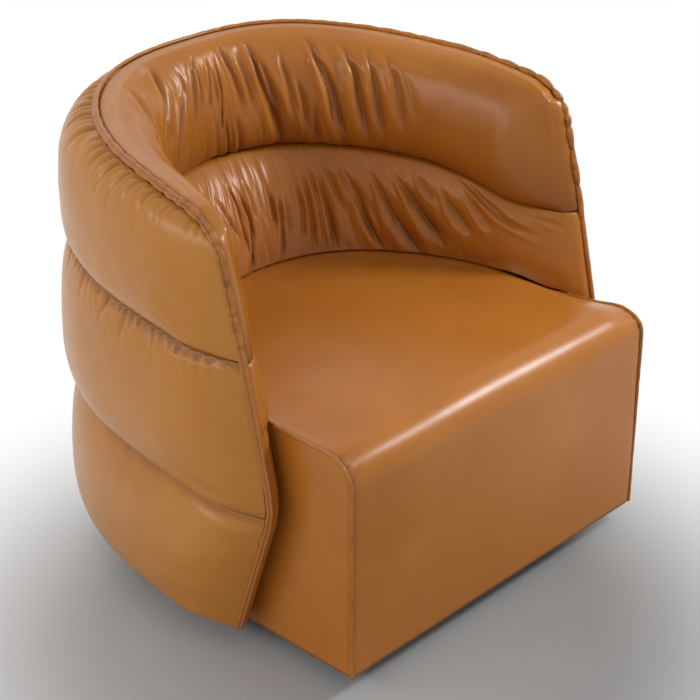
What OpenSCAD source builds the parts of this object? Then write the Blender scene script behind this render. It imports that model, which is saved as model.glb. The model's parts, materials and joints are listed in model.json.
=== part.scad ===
// Tub swivel chair: a square-sided seat block held in a horseshoe barrel of padded channels.
// Millimetres. +Z is up, the seat faces -Y, and the swivel axis is the Z axis.

/* [Seat block] */
// Width of the seat block
block_w = 676; // [650:1:700]
// Height of the seat's edge above the floor
seat_h = 397; // [385:1:410]
// Rise of the seat's middle above its edge
seat_crown = 12; // [4:1:20]
// Radius of the front top edge
front_round = 50; // [35:1:60]
// Gap between the floor and the block
block_gap = 33; // [31:1:38]
// Thickness of the leather
leather_t = 2.5; // [1.5:0.5:3.5]
// Thickness of the padding on the front and side rails
pad_t = 10; // [6:1:14]
// Radius of the piping on the block's side seams
piping_r = 3; // [2:0.5:4]
// Distance of the seat foam's end from the barrel frame's back
foam_setback = 100; // [80:1:110]

/* [Seat frame] */
// Thickness of the seat rails
rail_t = 22; // [18:1:26]
// Height of the top of the seat rails
rail_top_h = 240; // [230:1:260]
// Depth at which the side rails end, as a share of the barrel's curve
corner_share = 0.46; // [0.44:0.01:0.48]
// Side of the glued corner blocks
corner_block_w = 60; // [45:1:75]

/* [Seat springs] */
// Number of zigzag springs
spring_count = 5; // [3:1:5]
// Distance from the rear rail's end to the outer spring
spring_margin = 17; // [12:1:30]
// Radius of the spring wire
wire_r = 1.9; // [1.5:0.1:2.2]
// Width of a spring's zigzag
spring_w = 56; // [50:1:60]
// Number of half-round bends in a spring
bends = 14; // [12:2:16]
// Thickness of the felt on the springs
felt_t = 4; // [3:0.5:6]

/* [Barrel plan] */
// Gap between the block's side and the arm lining
arm_gap = 11.5; // [9:0.5:15]
// Thickness of the barrel's plywood
board_t = 22; // [18:1:26]
// Thickness of the lining boards
lining_t = 2; // [1.5:0.5:3]
// Depth of the barrel frame, from the block's front
barrel_d = 700; // [690:1:720]
// Depth at which the arms begin to curve
arm_turn = 142; // [130:1:150]
// Squareness of the barrel's horseshoe
plan_power = 2.6; // [2.4:0.1:2.8]
// Squareness of the rolls' horseshoe
roll_power = 2.2; // [2.1:0.1:2.4]

/* [Barrel heights] */
// Height of the rim at the back
rim_back_h = 763; // [740:1:790]
// Height of the rim at the arm fronts
rim_front_h = 690; // [675:1:705]
// Height of the upper seam between channels
seam_high_h = 517; // [495:1:535]
// Height of the lower seam between channels
seam_low_h = 281; // [262:1:300]
// Height of the barrel's hem
hem_h = 44; // [40:1:55]
// Height of the crease between the rolls at the arm fronts
crease_front_h = 524; // [505:1:545]
// Height of the crease between the rolls at the back
crease_back_h = 571; // [550:1:590]

/* [Arm fronts] */
// Setback of the arm's top corner from the block's front
top_setback = 214; // [200:1:230]
// Setback of the arm front at the upper seam
seam_setback = 169; // [155:1:185]
// Setback of the arm front at its knee
knee_setback = 116; // [105:1:130]
// Setback of the arm front at the hem
hem_setback = 196; // [180:1:210]
// Depth of the padded facing on the arm front
facing_t = 12; // [9:1:16]

/* [Padding] */
// Depth of the channels at their seams, at the sides
channel_side = 29; // [24:1:34]
// Depth of the channels at their seams, at the back
channel_back = 48; // [40:1:56]
// Swelling of the channels beyond their seams
channel_swell = 16; // [8:1:22]
// Depth of the lower roll on the seat, at the sides
roll_seat_side = 61; // [52:1:66]
// Depth of the lower roll on the seat, at the back
roll_seat_back = 136; // [125:1:145]
// Depth of the rolls at the crease between them
crease_depth = 34; // [28:1:38]
// Swelling of the upper roll beyond the crease
roll_swell = 20; // [12:1:26]
// Radius of the welt along the rim
welt_r = 4; // [3:0.5:5]

/* [Barrel frame] */
// Height of the hoops' section
hoop_h = 40; // [30:1:50]
// Width of the posts, as a share of half the horseshoe
post_share = 0.05; // [0.03:0.01:0.06]
// Number of posts on each side
post_count = 3; // [2:1:4]
// Drop of the frame's top below the rim
frame_drop = 30; // [28:1:36]

/* [Swivel base] */
// Diameter of the base disc
base_d = 460; // [440:1:500]
// Thickness of the base disc
base_t = 18; // [16:1:20]
// Height of the glides
glide_h = 6; // [5:0.5:7]
// Radius of a glide
glide_r = 16; // [12:1:20]
// Number of glides
glide_count = 6; // [5:1:8]
// Side of the square race plates
plate_w = 300; // [290:1:320]
// Thickness of the race plates
plate_t = 3; // [2.5:0.5:3.5]
// Radius of the ball race
race_r = 120; // [105:1:130]
// Radius of the balls
ball_r = 4; // [3.8:0.1:4.3]
// Number of balls
ball_count = 24; // [16:4:32]
// Radius of the pivot tube
pivot_r = 12; // [10:0.5:16]
// Running clearance of the swivel
run_clear = 0.05; // [0.02:0.01:0.1]
// Thickness of the swivel board
swivel_board_t = 18; // [15:1:22]
// Height of the two bearers above the swivel board
bearer_h = 60; // [50:1:80]
// Thickness of the bearers
bearer_t = 28; // [22:1:34]

/* [Hidden] */

// Colours
tan_leather = [0.72, 0.42, 0.16];
dark_leather = [0.62, 0.34, 0.12];
plywood = [0.82, 0.68, 0.47];
hardwood = [0.70, 0.52, 0.34];
foam = [0.93, 0.89, 0.76];
steel = [0.62, 0.64, 0.66];
black = [0.12, 0.12, 0.13];

// Clearances
rest_gap = 0.3;     // between a soft piece and its neighbour
joint_gap = 0.1;    // between wooden pieces that are glued
cut = 1;            // how far a cutter runs past what it cuts

// Plan of the barrel, where a depth is measured from the block's front
block_half = block_w / 2;
lining_half = block_half + arm_gap;
wall_t = board_t + 2 * lining_t;
frame_half = lining_half + wall_t;
seam_proud = piping_r / 2;
axis_d = (barrel_d + rest_gap + channel_back + channel_swell - seam_proud) / 2;
mid_share = 0.3;        // share of the curve's depth at which the arm hands over to it
arm_share = 0.2;        // share of half an outline that lies on the arm
arm_steps = 10;
curve_steps = 19;       // the soft forms take the same steps, so that they lie along the boards
curve_stations = [for (i = [0:curve_steps]) arm_share + (1 - arm_share) * i / curve_steps];
outline_stations = concat([for (i = [0:arm_steps - 1]) arm_share * i / arm_steps], curve_stations);

// A point of a horseshoe outline: q runs from 0 at the arm's front to 1 at the middle of the back
function plan_xy(half, back, power, q, start) =
    let (b = back - arm_turn, mid = arm_turn + mid_share * b)
    q < arm_share
        ? let (y = start + (mid - start) * q / arm_share, k = max(0, (y - arm_turn) / b))
            [half * pow(1 - pow(k, power), 1 / power), y]
        : let (t0 = asin(pow(mid_share, power / 2)),
                t = t0 + (90 - t0) * (q - arm_share) / (1 - arm_share))
            [half * pow(max(0, cos(t)), 2 / power), arm_turn + b * pow(sin(t), 2 / power)];

// Half width of the space inside the lining at a depth
function inside_half(y) =
    let (k = max(0, (y - arm_turn) / (barrel_d - wall_t - arm_turn)))
    lining_half * pow(1 - pow(k, plan_power), 1 / plan_power);

// Outline of the barrel frame's face, moved inwards by inset and running forward to start
function hoop_outline(inset, start) =
    let (right = [for (q = outline_stations)
        plan_xy(frame_half - inset, barrel_d - inset, plan_power, q, start)])
    concat(right, [for (i = [len(right) - 2:-1:0]) [-right[i][0], right[i][1]]]);

module hoop_2d(inset_out, inset_in, start) {
    difference() {
        polygon(hoop_outline(inset_out, start));
        polygon(hoop_outline(inset_in, start - cut));
    }
}

// Setback of the arm front, height of the rim and height of the inner crease
knee_round = 30;        // how far the knee's rounding reaches up and down
knee_low = knee_setback + knee_round * (hem_setback - knee_setback) / (seam_low_h - hem_h);
knee_high = knee_setback + knee_round * (seam_setback - knee_setback) / (seam_high_h - seam_low_h);
front_line = [[hem_h, hem_setback], [seam_low_h - knee_round, knee_low],
    [seam_low_h, (knee_low + 2 * knee_setback + knee_high) / 4],
    [seam_low_h + knee_round, knee_high], [seam_high_h, seam_setback], [rim_front_h, top_setback]];
function arm_front(h) = lookup(h, front_line);
rim_slope = (rim_back_h - rim_front_h) / (barrel_d - top_setback);
corner_drop = 14;       // how far the rim's front corner is rounded down
corner_len = 28;        // over about this depth
function rim_h(y) = rim_front_h + (y - top_setback) * rim_slope;
function soft_rim_h(y) = rim_h(y) - corner_drop * exp(-max(0, y - top_setback) / corner_len);
function crease_h(y) = crease_front_h
    + (crease_back_h - crease_front_h) * (y - seam_setback) / (barrel_d - seam_setback);

module on_chair() {
    translate([0, -axis_d, 0]) children();
}

module left_copy() {
    mirror([1, 0, 0]) children();
}

// All that lies more than drop below the rim's line
module below_rim(drop) {
    big = 2 * barrel_d;
    translate([0, 0, rim_h(0) - drop])
        rotate([atan(rim_slope), 0, 0])
            translate([-big, -big, -big]) cube([2 * big, 3 * big, big]);
}

// All that lies behind the arm fronts' padding
module behind_facing() {
    big = 2 * barrel_d;
    back = facing_t + joint_gap;
    rotate([90, 0, 90]) translate([0, 0, -big]) linear_extrude(2 * big)
        polygon(concat([[hem_setback + back, 0]], [for (p = front_line) [p[1] + back, p[0]]],
            [[top_setback + back, big], [big, big], [big, 0]]));
}

// Rings of points joined by a closed skin. A ring's end is a fan from its last point, or, where the
// ring runs out along one face and back along the other, a band between the two. Turned takes each
// face's other diagonal, so that a skin can lie along the back of another.
function side_faces(m, n, turned) = [for (i = [0:m - 2], j = [0:n - 1], half = [0, 1])
    let (a = i * n + j, b = a + n, c = (i + 1) * n + (j + 1) % n, d = i * n + (j + 1) % n)
    turned ? (half == 0 ? [a, b, d] : [b, c, d]) : (half == 0 ? [a, b, c] : [a, c, d])];
function fan_caps(m, n) = let (z = (m - 1) * n) [for (j = [0:n - 3], end = [0, 1])
    end == 0 ? [n - 1, j, j + 1] : [z + n - 1, z + j + 1, z + j]];
function band_caps(m, n) = let (z = (m - 1) * n) [for (j = [0:n / 2 - 2], f = [0:3])
    f == 0 ? [j, j + 1, n - 2 - j]
        : f == 1 ? [j, n - 2 - j, n - 1 - j]
        : f == 2 ? [z + j, z + n - 2 - j, z + j + 1]
        : [z + j, z + n - 1 - j, z + n - 2 - j]];

// Rings of a round tube along a path. The side given by up stays square to the path.
function unit(v) = v / norm(v);
function heading(path, i) = unit(path[min(i + 1, len(path) - 1)] - path[max(i - 1, 0)]);
function tube_ring(path, i, r, sides, up) =
    let (t = heading(path, i), a = unit(cross(up, t)), b = cross(t, a))
    [for (k = [0:sides - 1]) path[i] + r * (cos(360 * k / sides) * a + sin(360 * k / sides) * b)];

module skin(rings, band = false, turned = false) {
    m = len(rings);
    n = len(rings[0]);
    polyhedron([for (r = rings) each r],
        concat(side_faces(m, n, turned), band ? band_caps(m, n) : fan_caps(m, n)), convexity = 8);
}

// Swivel base

lower_plate_z = glide_h + base_t;
ball_z = lower_plate_z + plate_t / 2 + ball_r;
upper_plate_z = ball_z + ball_r - plate_t / 2;
board_z = upper_plate_z + plate_t;
plate_corner_r = 12;
lower_hole_at = plate_w / 2 - 30;
upper_hole_at = plate_w / 2 - 14;
screw_r = 2.5;
bolt_r = 3;
bolt_clear = 0.25;
head_r = 5.5;
head_t = 1.6;
nut_t = 5;
flange_w = 6;
flange_t = 2;
tube_wall = 2.5;
cage_t = 1.2;
cage_w = 20;
glide_inset = 10;       // from the disc's edge to a glide
disc_lip = 4;
flange_room = 1;

module four(at) {
    for (x = [-at, at], y = [-at, at]) translate([x, y, 0]) children();
}

module ring_of(count) {
    for (i = [0:count - 1]) rotate(i * 360 / count) children();
}

module glides() {
    foot = 1.5;
    color(black) ring_of(glide_count) translate([base_d / 2 - glide_r - glide_inset, 0, 0]) {
        cylinder(r1 = glide_r - foot, r2 = glide_r, h = foot, $fn = 48);
        translate([0, 0, foot]) cylinder(r = glide_r, h = glide_h - foot, $fn = 48);
    }
}

module base_disc() {
    color(plywood) difference() {
        rotate_extrude($fn = 120) polygon([[0, glide_h], [base_d / 2 - disc_lip, glide_h],
            [base_d / 2, glide_h + disc_lip], [base_d / 2, lower_plate_z], [0, lower_plate_z]]);
        translate([0, 0, glide_h - cut]) cylinder(r = pivot_r, h = base_t + 2 * cut, $fn = 64);
        translate([0, 0, lower_plate_z - flange_t - flange_room])
            cylinder(r = pivot_r + flange_w + flange_room, h = base_t, $fn = 64);
        four(lower_hole_at) translate([0, 0, glide_h - cut])
            cylinder(r = screw_r, h = base_t + 2 * cut, $fn = 32);
    }
}

module race_plate(z, hole_at, hole_r) {
    w = plate_w / 2 - plate_corner_r;
    difference() {
        translate([0, 0, z]) linear_extrude(plate_t) union() {
            square([plate_w, 2 * w], center = true);
            square([2 * w, plate_w], center = true);
            for (x = [-w, w], y = [-w, w]) translate([x, y]) circle(r = plate_corner_r, $fn = 48);
        }
        rotate_extrude($fn = 120) translate([race_r, ball_z]) circle(r = ball_r + run_clear, $fn = 48);
        translate([0, 0, z - cut]) cylinder(r = pivot_r + run_clear, h = plate_t + 2 * cut, $fn = 64);
        four(hole_at) translate([0, 0, z - cut]) cylinder(r = hole_r, h = plate_t + 2 * cut, $fn = 32);
    }
}

module lower_race_plate() {
    color(steel) race_plate(lower_plate_z, lower_hole_at, screw_r + bolt_clear);
}

module upper_race_plate() {
    color(steel) race_plate(upper_plate_z, upper_hole_at, bolt_r + bolt_clear);
}

module base_screws() {
    tip_z = glide_h + 3;
    color(steel) four(lower_hole_at) {
        translate([0, 0, lower_plate_z + plate_t]) cylinder(r = head_r, h = head_t, $fn = 32);
        translate([0, 0, tip_z])
            cylinder(r = screw_r - joint_gap, h = lower_plate_z + plate_t - tip_z, $fn = 32);
    }
}

// The tube's lower flange is clamped under the lower plate, and its upper one keeps the chair down
module pivot_tube() {
    out = pivot_r + flange_w;
    low_z = lower_plate_z - flange_t;
    top_z = board_z + run_clear;
    color(steel) rotate_extrude($fn = 96) polygon([[pivot_r - tube_wall, low_z], [out, low_z],
        [out, lower_plate_z], [pivot_r, lower_plate_z], [pivot_r, top_z], [out, top_z],
        [out, top_z + flange_t], [pivot_r - tube_wall, top_z + flange_t]]);
}

module ball_cage() {
    color("goldenrod") difference() {
        translate([0, 0, ball_z - cage_t / 2]) difference() {
            cylinder(r = race_r + cage_w / 2, h = cage_t, $fn = 120);
            translate([0, 0, -cut]) cylinder(r = race_r - cage_w / 2, h = cage_t + 2 * cut, $fn = 120);
        }
        ring_of(ball_count) translate([race_r, 0, ball_z - cage_t])
            cylinder(r = ball_r + run_clear, h = 2 * cage_t, $fn = 32);
    }
}

module bearing_balls() {
    color("silver") ring_of(ball_count) translate([race_r, 0, ball_z]) sphere(r = ball_r, $fn = 32);
}

// Seat frame

rail_out = block_half - leather_t - pad_t;
rail_in = rail_out - rail_t;
rail_front = leather_t + pad_t;
rail_z = block_gap + 3;
side_rail_d = rail_front + rail_t + joint_gap;
bearer_at = 125;
bearer_z = board_z + swivel_board_t;
board_margin = 22;      // from the race plate's edge to the swivel board's
board_gap = 4.6;        // between the swivel board and the rear rail
frame_clear = 10;       // between the rear rail's end and the barrel
swivel_board_w = plate_w + 2 * board_margin;
seat_frame_d = axis_d + swivel_board_w / 2 + board_gap + rail_t;
rear_rail_half = inside_half(seat_frame_d) - frame_clear;
frame_corner_d = arm_turn + corner_share * (barrel_d - arm_turn);
bolt_pitch = 42;
bolt_inset = 28;        // from a side rail's end to its last bolt
spacer_margin = 18;     // of a spacer beyond its bolts
panel_gap = 12;         // between a side panel's end and the spacer
bolt_depths = [frame_corner_d - bolt_inset - bolt_pitch, frame_corner_d - bolt_inset];
panel_d = bolt_depths[0] - spacer_margin - panel_gap;
arm_panel_d = panel_d;
bolt_z = rail_top_h - hoop_h / 2 - 5;
bolt_tip = 6;           // wood left behind a bolt's tip
angled_from = [rail_out, frame_corner_d + joint_gap];
angled_to = [rear_rail_half + joint_gap, seat_frame_d];
angled_run = angled_to - angled_from;
angled_across = rail_t * norm(angled_run) / abs(angled_run[1]);
angled_along = rail_t * norm(angled_run) / abs(angled_run[0]);

// Half width between the angled rails at a depth
function angled_in(y) = angled_from[0] - angled_across
    + angled_run[0] * (y - angled_from[1]) / angled_run[1];

module swivel_board() {
    color(plywood) difference() {
        translate([-swivel_board_w / 2, -swivel_board_w / 2, board_z])
            cube([swivel_board_w, swivel_board_w, swivel_board_t]);
        translate([0, 0, board_z - cut])
            cylinder(r = pivot_r + flange_w + flange_room, h = swivel_board_t + 2 * cut, $fn = 64);
        four(upper_hole_at) translate([0, 0, board_z - cut])
            cylinder(r = bolt_r + bolt_clear, h = swivel_board_t + 2 * cut, $fn = 32);
    }
}

module swivel_bolts() {
    color(steel) four(upper_hole_at) {
        translate([0, 0, upper_plate_z - head_t]) cylinder(r = head_r, h = head_t, $fn = 32);
        translate([0, 0, upper_plate_z]) cylinder(r = bolt_r, h = bearer_z - upper_plate_z, $fn = 32);
        translate([0, 0, bearer_z]) cylinder(r = head_r, h = nut_t, $fn = 6);
    }
}

// A bearer crosses the frame between the rails. Its ends are cut to meet them.
module bearer(y, half_front, half_rear) {
    y0 = y - bearer_t / 2;
    y1 = y + bearer_t / 2;
    color(hardwood) difference() {
        translate([0, 0, bearer_z]) linear_extrude(bearer_h) polygon([[-half_front, y0],
            [half_front, y0], [half_rear, y1], [-half_rear, y1]]);
        four(upper_hole_at) translate([0, 0, bearer_z - cut])
            cylinder(r = head_r + 2, h = nut_t + 2 * cut, $fn = 32);
    }
}

module bearer_front() {
    bearer(-bearer_at, rail_in - joint_gap, rail_in - joint_gap);
}

module bearer_rear() {
    bearer(bearer_at, angled_in(axis_d + bearer_at - bearer_t / 2) - 2 * joint_gap,
        angled_in(axis_d + bearer_at + bearer_t / 2) - 2 * joint_gap);
}

module rail(x0, x1, y0, y1) {
    translate([x0, y0, rail_z]) cube([x1 - x0, y1 - y0, rail_top_h - rail_z]);
}

module front_rail() {
    color(plywood) on_chair() rail(-rail_out, rail_out, rail_front, rail_front + rail_t);
}

module bolt_holes(x0, x1) {
    for (y = bolt_depths) translate([x0, y, bolt_z]) rotate([0, 90, 0])
        cylinder(r = bolt_r + bolt_clear, h = x1 - x0, $fn = 32);
}

module side_rail_right() {
    color(plywood) on_chair() difference() {
        rail(rail_in, rail_out, side_rail_d, frame_corner_d);
        bolt_holes(rail_in - cut, rail_out + cut);
    }
}

module side_rail_left() {
    left_copy() side_rail_right();
}

// The angled rail runs from the side rail's end to the rear rail's, square-cut to meet both
module angled_rail_right() {
    color(plywood) on_chair() translate([0, 0, rail_z]) linear_extrude(rail_top_h - rail_z)
        polygon([angled_from, angled_to, angled_to - [0, angled_along],
            angled_from - [angled_across, 0]]);
}

module angled_rail_left() {
    left_copy() angled_rail_right();
}

module rear_rail() {
    color(plywood) on_chair()
        rail(-rear_rail_half, rear_rail_half, seat_frame_d - rail_t, seat_frame_d);
}

module corner_blocks() {
    h = 70;
    x = rail_in - joint_gap;
    color(hardwood) on_chair() for (side = [0, 1]) mirror([side, 0, 0])
        translate([0, 0, rail_top_h - h - 10]) linear_extrude(h)
            polygon([[x, side_rail_d], [x, side_rail_d + corner_block_w],
                [x - corner_block_w, side_rail_d]]);
}

module dust_cover() {
    t = 1;
    hole_w = swivel_board_w + 2;
    color(black) on_chair() difference() {
        translate([0, 0, rail_z - t - joint_gap]) linear_extrude(t) polygon([
            [-rail_out, rail_front], [rail_out, rail_front], [rail_out, frame_corner_d],
            [rear_rail_half, seat_frame_d], [-rear_rail_half, seat_frame_d],
            [-rail_out, frame_corner_d]]);
        translate([-hole_w / 2, axis_d - hole_w / 2, rail_z - t - cut])
            cube([hole_w, hole_w, t + 2 * cut]);
    }
}

// Springs and filling

spring_z = rail_top_h + wire_r + joint_gap;
spring_front = rail_front + rail_t / 2;
spring_back = seat_frame_d - rail_t / 2;
bend_pitch = (spring_back - spring_front) / bends;
clip_w = 14;
clip_d = 12;
clip_wall = 1.2;
clip_h = 2 * wire_r + joint_gap + clip_wall;
felt_z = rail_top_h + clip_h + joint_gap;
foam_z = felt_z + felt_t + joint_gap;
foam_d = barrel_d - foam_setback;
spring_pitch = (2 * (rear_rail_half - spring_margin) - spring_w) / (spring_count - 1);

function spring_x(i) = (i - (spring_count - 1) / 2) * spring_pitch;

// Centre line of one zigzag: straight bars joined by half-round bends, to one side and the other in turn
bend_steps = 3;
function zigzag_path() = let (reach = (spring_w - bend_pitch) / 2, r = bend_pitch / 2) concat(
    [[-clip_w / 2, spring_front, 0]],
    [for (i = [0:bends - 1], j = [0:bend_steps])
        let (side = i % 2 == 0 ? 1 : -1, a = 180 * j / bend_steps - 90)
        [side * (reach + r * cos(a)), spring_front + (i + 0.5) * bend_pitch + r * sin(a), 0]],
    [[-clip_w / 2, spring_back, 0]]);

module seat_springs() {
    path = zigzag_path();
    color(steel) on_chair() for (i = [0:spring_count - 1]) translate([spring_x(i), 0, spring_z])
        skin([for (k = [0:len(path) - 1]) tube_ring(path, k, wire_r, 6, [0, 0, 1])]);
}

// Each clip is a saddle over a spring's end bar, nailed to the rail
module spring_clips() {
    color(steel) on_chair() for (i = [0:spring_count - 1], y = [spring_front, spring_back])
        translate([spring_x(i) - clip_w / 2, y, rail_top_h]) difference() {
            translate([0, -clip_d / 2, 0]) cube([clip_w, clip_d, clip_h]);
            translate([-cut, 0, wire_r + joint_gap]) rotate([0, 90, 0])
                cylinder(r = wire_r + joint_gap, h = clip_w + 2 * cut, $fn = 32);
            translate([-cut, -wire_r - joint_gap, -cut])
                cube([clip_w + 2 * cut, 2 * (wire_r + joint_gap), wire_r + joint_gap + cut]);
        }
}

module spring_felt() {
    margin = 6;
    color([0.55, 0.52, 0.48]) on_chair() translate([0, 0, felt_z]) linear_extrude(felt_t)
        polygon([[-rail_out, rail_front + margin], [rail_out, rail_front + margin],
            [rail_out, frame_corner_d], [rear_rail_half, seat_frame_d],
            [-rear_rail_half, seat_frame_d], [-rail_out, frame_corner_d]]);
}

// Seat block's skin. Its section is a waterfall: up the front, round the edge and back along the top.
edge_gap = piping_r + seam_proud + joint_gap;
front_steps = 3;
round_steps = 6;
top_steps = 11;
across_steps = 14;

function waterfall(inset, z0) =
    let (r = front_round - inset, top_z = seat_h - inset)
    concat(
        [for (i = [0:front_steps - 1]) [inset, z0 + (seat_h - front_round - z0) * i / front_steps]],
        [for (i = [0:round_steps]) let (a = 90 * i / round_steps)
            [front_round - r * cos(a), seat_h - front_round + r * sin(a)]],
        [for (i = [1:top_steps]) [front_round + (foam_d - front_round) * i / top_steps, top_z]]);

// The crown dies away at the front edge and before the rolls
function crown_at(x, y) =
    let (margin = 25, reach = barrel_d - wall_t - roll_seat_back - margin,
        v = min(1, max(0, y / reach)), k = min(1, max(0, y - arm_turn) / (reach - arm_turn)),
        well = (lining_half - roll_seat_side - margin) * pow(1 - pow(k, roll_power), 1 / roll_power),
        u = min(1, abs(x) / max(1, well)))
    seat_crown * pow(1 - u * u, 2) * sin(180 * v);
function cover_half(y) = min(block_half - edge_gap, inside_half(y) - 1);
function seat_point(u, p) = let (x = u * cover_half(p[0]))
    [x, p[0], p[1] + (p[1] > seat_h - front_round ? crown_at(x, p[0]) : 0)];
function reversed(v) = [for (i = [len(v) - 1:-1:0]) v[i]];
function across(i) = 2 * i / across_steps - 1;

module seat_foam() {
    section = waterfall(leather_t + joint_gap, foam_z);
    last = section[len(section) - 1];
    color(foam) on_chair() skin([for (i = [0:across_steps])
        [for (p = concat(section, [[last[0], foam_z]])) seat_point(across(i), p)]], turned = true);
}

module seat_cover() {
    outer = waterfall(0, block_gap);
    inner = waterfall(leather_t, block_gap);
    color(tan_leather) on_chair() skin([for (i = [0:across_steps])
        [for (p = concat(outer, reversed(inner))) seat_point(across(i), p)]], band = true);
}

// Outline of the block's side, moved in from the seat's section
module side_outline(inset, z0, z1, y1) {
    intersection() {
        union() {
            translate([inset, 0]) square([y1 - inset, seat_h - front_round]);
            translate([front_round, 0]) square([y1 - front_round, seat_h - inset]);
            translate([front_round, seat_h - front_round]) circle(r = front_round - inset, $fn = 96);
        }
        translate([0, z0]) square([y1, z1 - z0]);
    }
}

module upright(x0, x1) {
    translate([x0, 0, 0]) rotate([90, 0, 90]) linear_extrude(x1 - x0) children();
}

module front_padding() {
    color(foam) on_chair() translate([-cover_half(0), leather_t + joint_gap, rail_z])
        cube([2 * cover_half(0), pad_t - 2 * joint_gap, foam_z - joint_gap - rail_z]);
}

module side_padding_right() {
    color(foam) on_chair() upright(rail_out + joint_gap, block_half - leather_t - joint_gap)
        side_outline(rail_front, rail_z, foam_z - joint_gap, panel_d);
}

module side_padding_left() {
    left_copy() side_padding_right();
}

module side_panel_right() {
    color(tan_leather) on_chair() upright(block_half - leather_t, block_half)
        side_outline(edge_gap, block_gap, seat_h, panel_d);
}

module side_panel_left() {
    left_copy() side_panel_right();
}

// Piping runs up the front corner, round the edge and back along the side's top to the arm
module side_piping_right() {
    x = block_half - seam_proud;
    turn_z = seat_h - front_round;
    color(dark_leather) on_chair() translate([x, 0, 0]) {
        translate([0, seam_proud, block_gap])
            cylinder(r = piping_r, h = turn_z - block_gap, $fn = 24);
        translate([0, front_round, turn_z]) rotate([180, -90, 0]) rotate_extrude(angle = 90, $fn = 96)
            translate([front_round - seam_proud, 0]) circle(r = piping_r, $fn = 24);
        translate([0, front_round, seat_h - seam_proud]) rotate([-90, 0, 0])
            cylinder(r = piping_r, h = arm_front(seat_h) + facing_t - front_round, $fn = 24);
    }
}

module side_piping_left() {
    left_copy() side_piping_right();
}

// Barrel frame

frame_z = hem_h + 1 + joint_gap;
board_in = wall_t - lining_t - joint_gap;
board_out = lining_t + joint_gap;
hoop_front = arm_panel_d + joint_gap;

module barrel_ring(inset_out, inset_in, start, z0, z1) {
    translate([0, 0, z0]) linear_extrude(z1 - z0) hoop_2d(inset_out, inset_in, start);
}

module open_back(start) {
    big = 2 * barrel_d;
    translate([-big, start, 0]) cube([2 * big, big, big]);
}

module base_hoop() {
    color(plywood) on_chair() intersection() {
        barrel_ring(board_out, board_in, 0, frame_z, frame_z + hoop_h);
        open_back(hoop_front);
    }
}

module seat_hoop() {
    z = bolt_z - hoop_h / 2;
    color(plywood) on_chair() difference() {
        intersection() {
            barrel_ring(board_out, board_in, 0, z, z + hoop_h);
            open_back(hoop_front);
        }
        for (side = [0, 1]) mirror([side, 0, 0]) for (y = bolt_depths)
            translate([0, y, bolt_z]) rotate([0, 90, 0])
                cylinder(r = bolt_r + bolt_clear, h = bolt_end(y) + bolt_clear, $fn = 32);
    }
}

module top_hoop() {
    color(plywood) on_chair() difference() {
        intersection() {
            barrel_ring(board_out, board_in, 0, seam_high_h, rim_back_h);
            open_back(hoop_front);
            below_rim(frame_drop);
        }
        below_rim(frame_drop + hoop_h);
    }
}

// Plan of one post, between two stations of the horseshoe
module post_2d(q) {
    far = q + post_share;
    function at(inset, s) = plan_xy(frame_half - inset, barrel_d - inset, plan_power, s, 0);
    intersection() {
        hoop_2d(board_out, board_in, 0);
        polygon([at(-wall_t, q), at(-wall_t, far), at(2 * wall_t, far), at(2 * wall_t, q)]);
    }
}

module barrel_posts() {
    first = arm_share + 0.1;
    step = (1 - post_share - first) / post_count;
    seat_hoop_z = bolt_z - hoop_h / 2;
    base_top = frame_z + hoop_h + joint_gap;
    color(hardwood) on_chair() for (side = [0, 1]) mirror([side, 0, 0])
        for (i = [0:post_count - 1]) {
            q = first + i * step;
            translate([0, 0, base_top]) linear_extrude(seat_hoop_z - joint_gap - base_top) post_2d(q);
            intersection() {
                translate([0, 0, seat_hoop_z + hoop_h + joint_gap]) linear_extrude(barrel_d) post_2d(q);
                below_rim(frame_drop + hoop_h + joint_gap);
            }
        }
}

module arm_panel_right() {
    color(plywood) on_chair() intersection() {
        barrel_ring(board_out, board_in, 0, frame_z, rim_back_h);
        translate([0, 0, 0]) cube([barrel_d, arm_panel_d, barrel_d]);
        behind_facing();
        below_rim(frame_drop);
    }
}

module arm_panel_left() {
    left_copy() arm_panel_right();
}

module lining(inset_out, inset_in) {
    intersection() {
        barrel_ring(inset_out, inset_in, 0, frame_z, rim_back_h);
        behind_facing();
        below_rim(frame_drop);
    }
}

module inner_lining() {
    color(tan_leather) on_chair() difference() {
        lining(wall_t - lining_t, wall_t);
        for (side = [0, 1]) mirror([side, 0, 0]) bolt_holes(0, frame_half - lining_t);
    }
}

module outer_lining() {
    color([0.6, 0.5, 0.4]) on_chair() lining(0, lining_t);
}

module barrel_underside() {
    color(black) on_chair() intersection() {
        barrel_ring(0, wall_t, 0, hem_h, hem_h + 1);
        behind_facing();
    }
}

// Spacers fill the gap between the seat frame and the barrel, and bolts hold the two together

function board_face(y) = let (k = (y - arm_turn) / (barrel_d - board_out - arm_turn))
    (frame_half - board_out) * pow(1 - pow(k, plan_power), 1 / plan_power);
function bolt_end(y) = board_face(y) - bolt_tip;

module barrel_spacers() {
    h = hoop_h + 20;
    y0 = bolt_depths[0] - spacer_margin;
    y1 = bolt_depths[1] + spacer_margin;
    color(hardwood) on_chair() for (side = [0, 1]) mirror([side, 0, 0]) difference() {
        translate([0, 0, bolt_z - h / 2]) linear_extrude(h) intersection() {
            polygon(hoop_outline(wall_t + joint_gap, 0));
            translate([rail_out + joint_gap, y0]) square([arm_gap + pad_t + board_t, y1 - y0]);
        }
        bolt_holes(0, frame_half);
    }
}

module barrel_bolts() {
    color(steel) on_chair() for (side = [0, 1]) mirror([side, 0, 0]) for (y = bolt_depths)
        translate([rail_in - nut_t, y, bolt_z]) rotate([0, 90, 0]) {
            cylinder(r = head_r, h = nut_t, $fn = 6);
            cylinder(r = bolt_r, h = bolt_end(y) - rail_in + nut_t, $fn = 32);
        }
}

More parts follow.
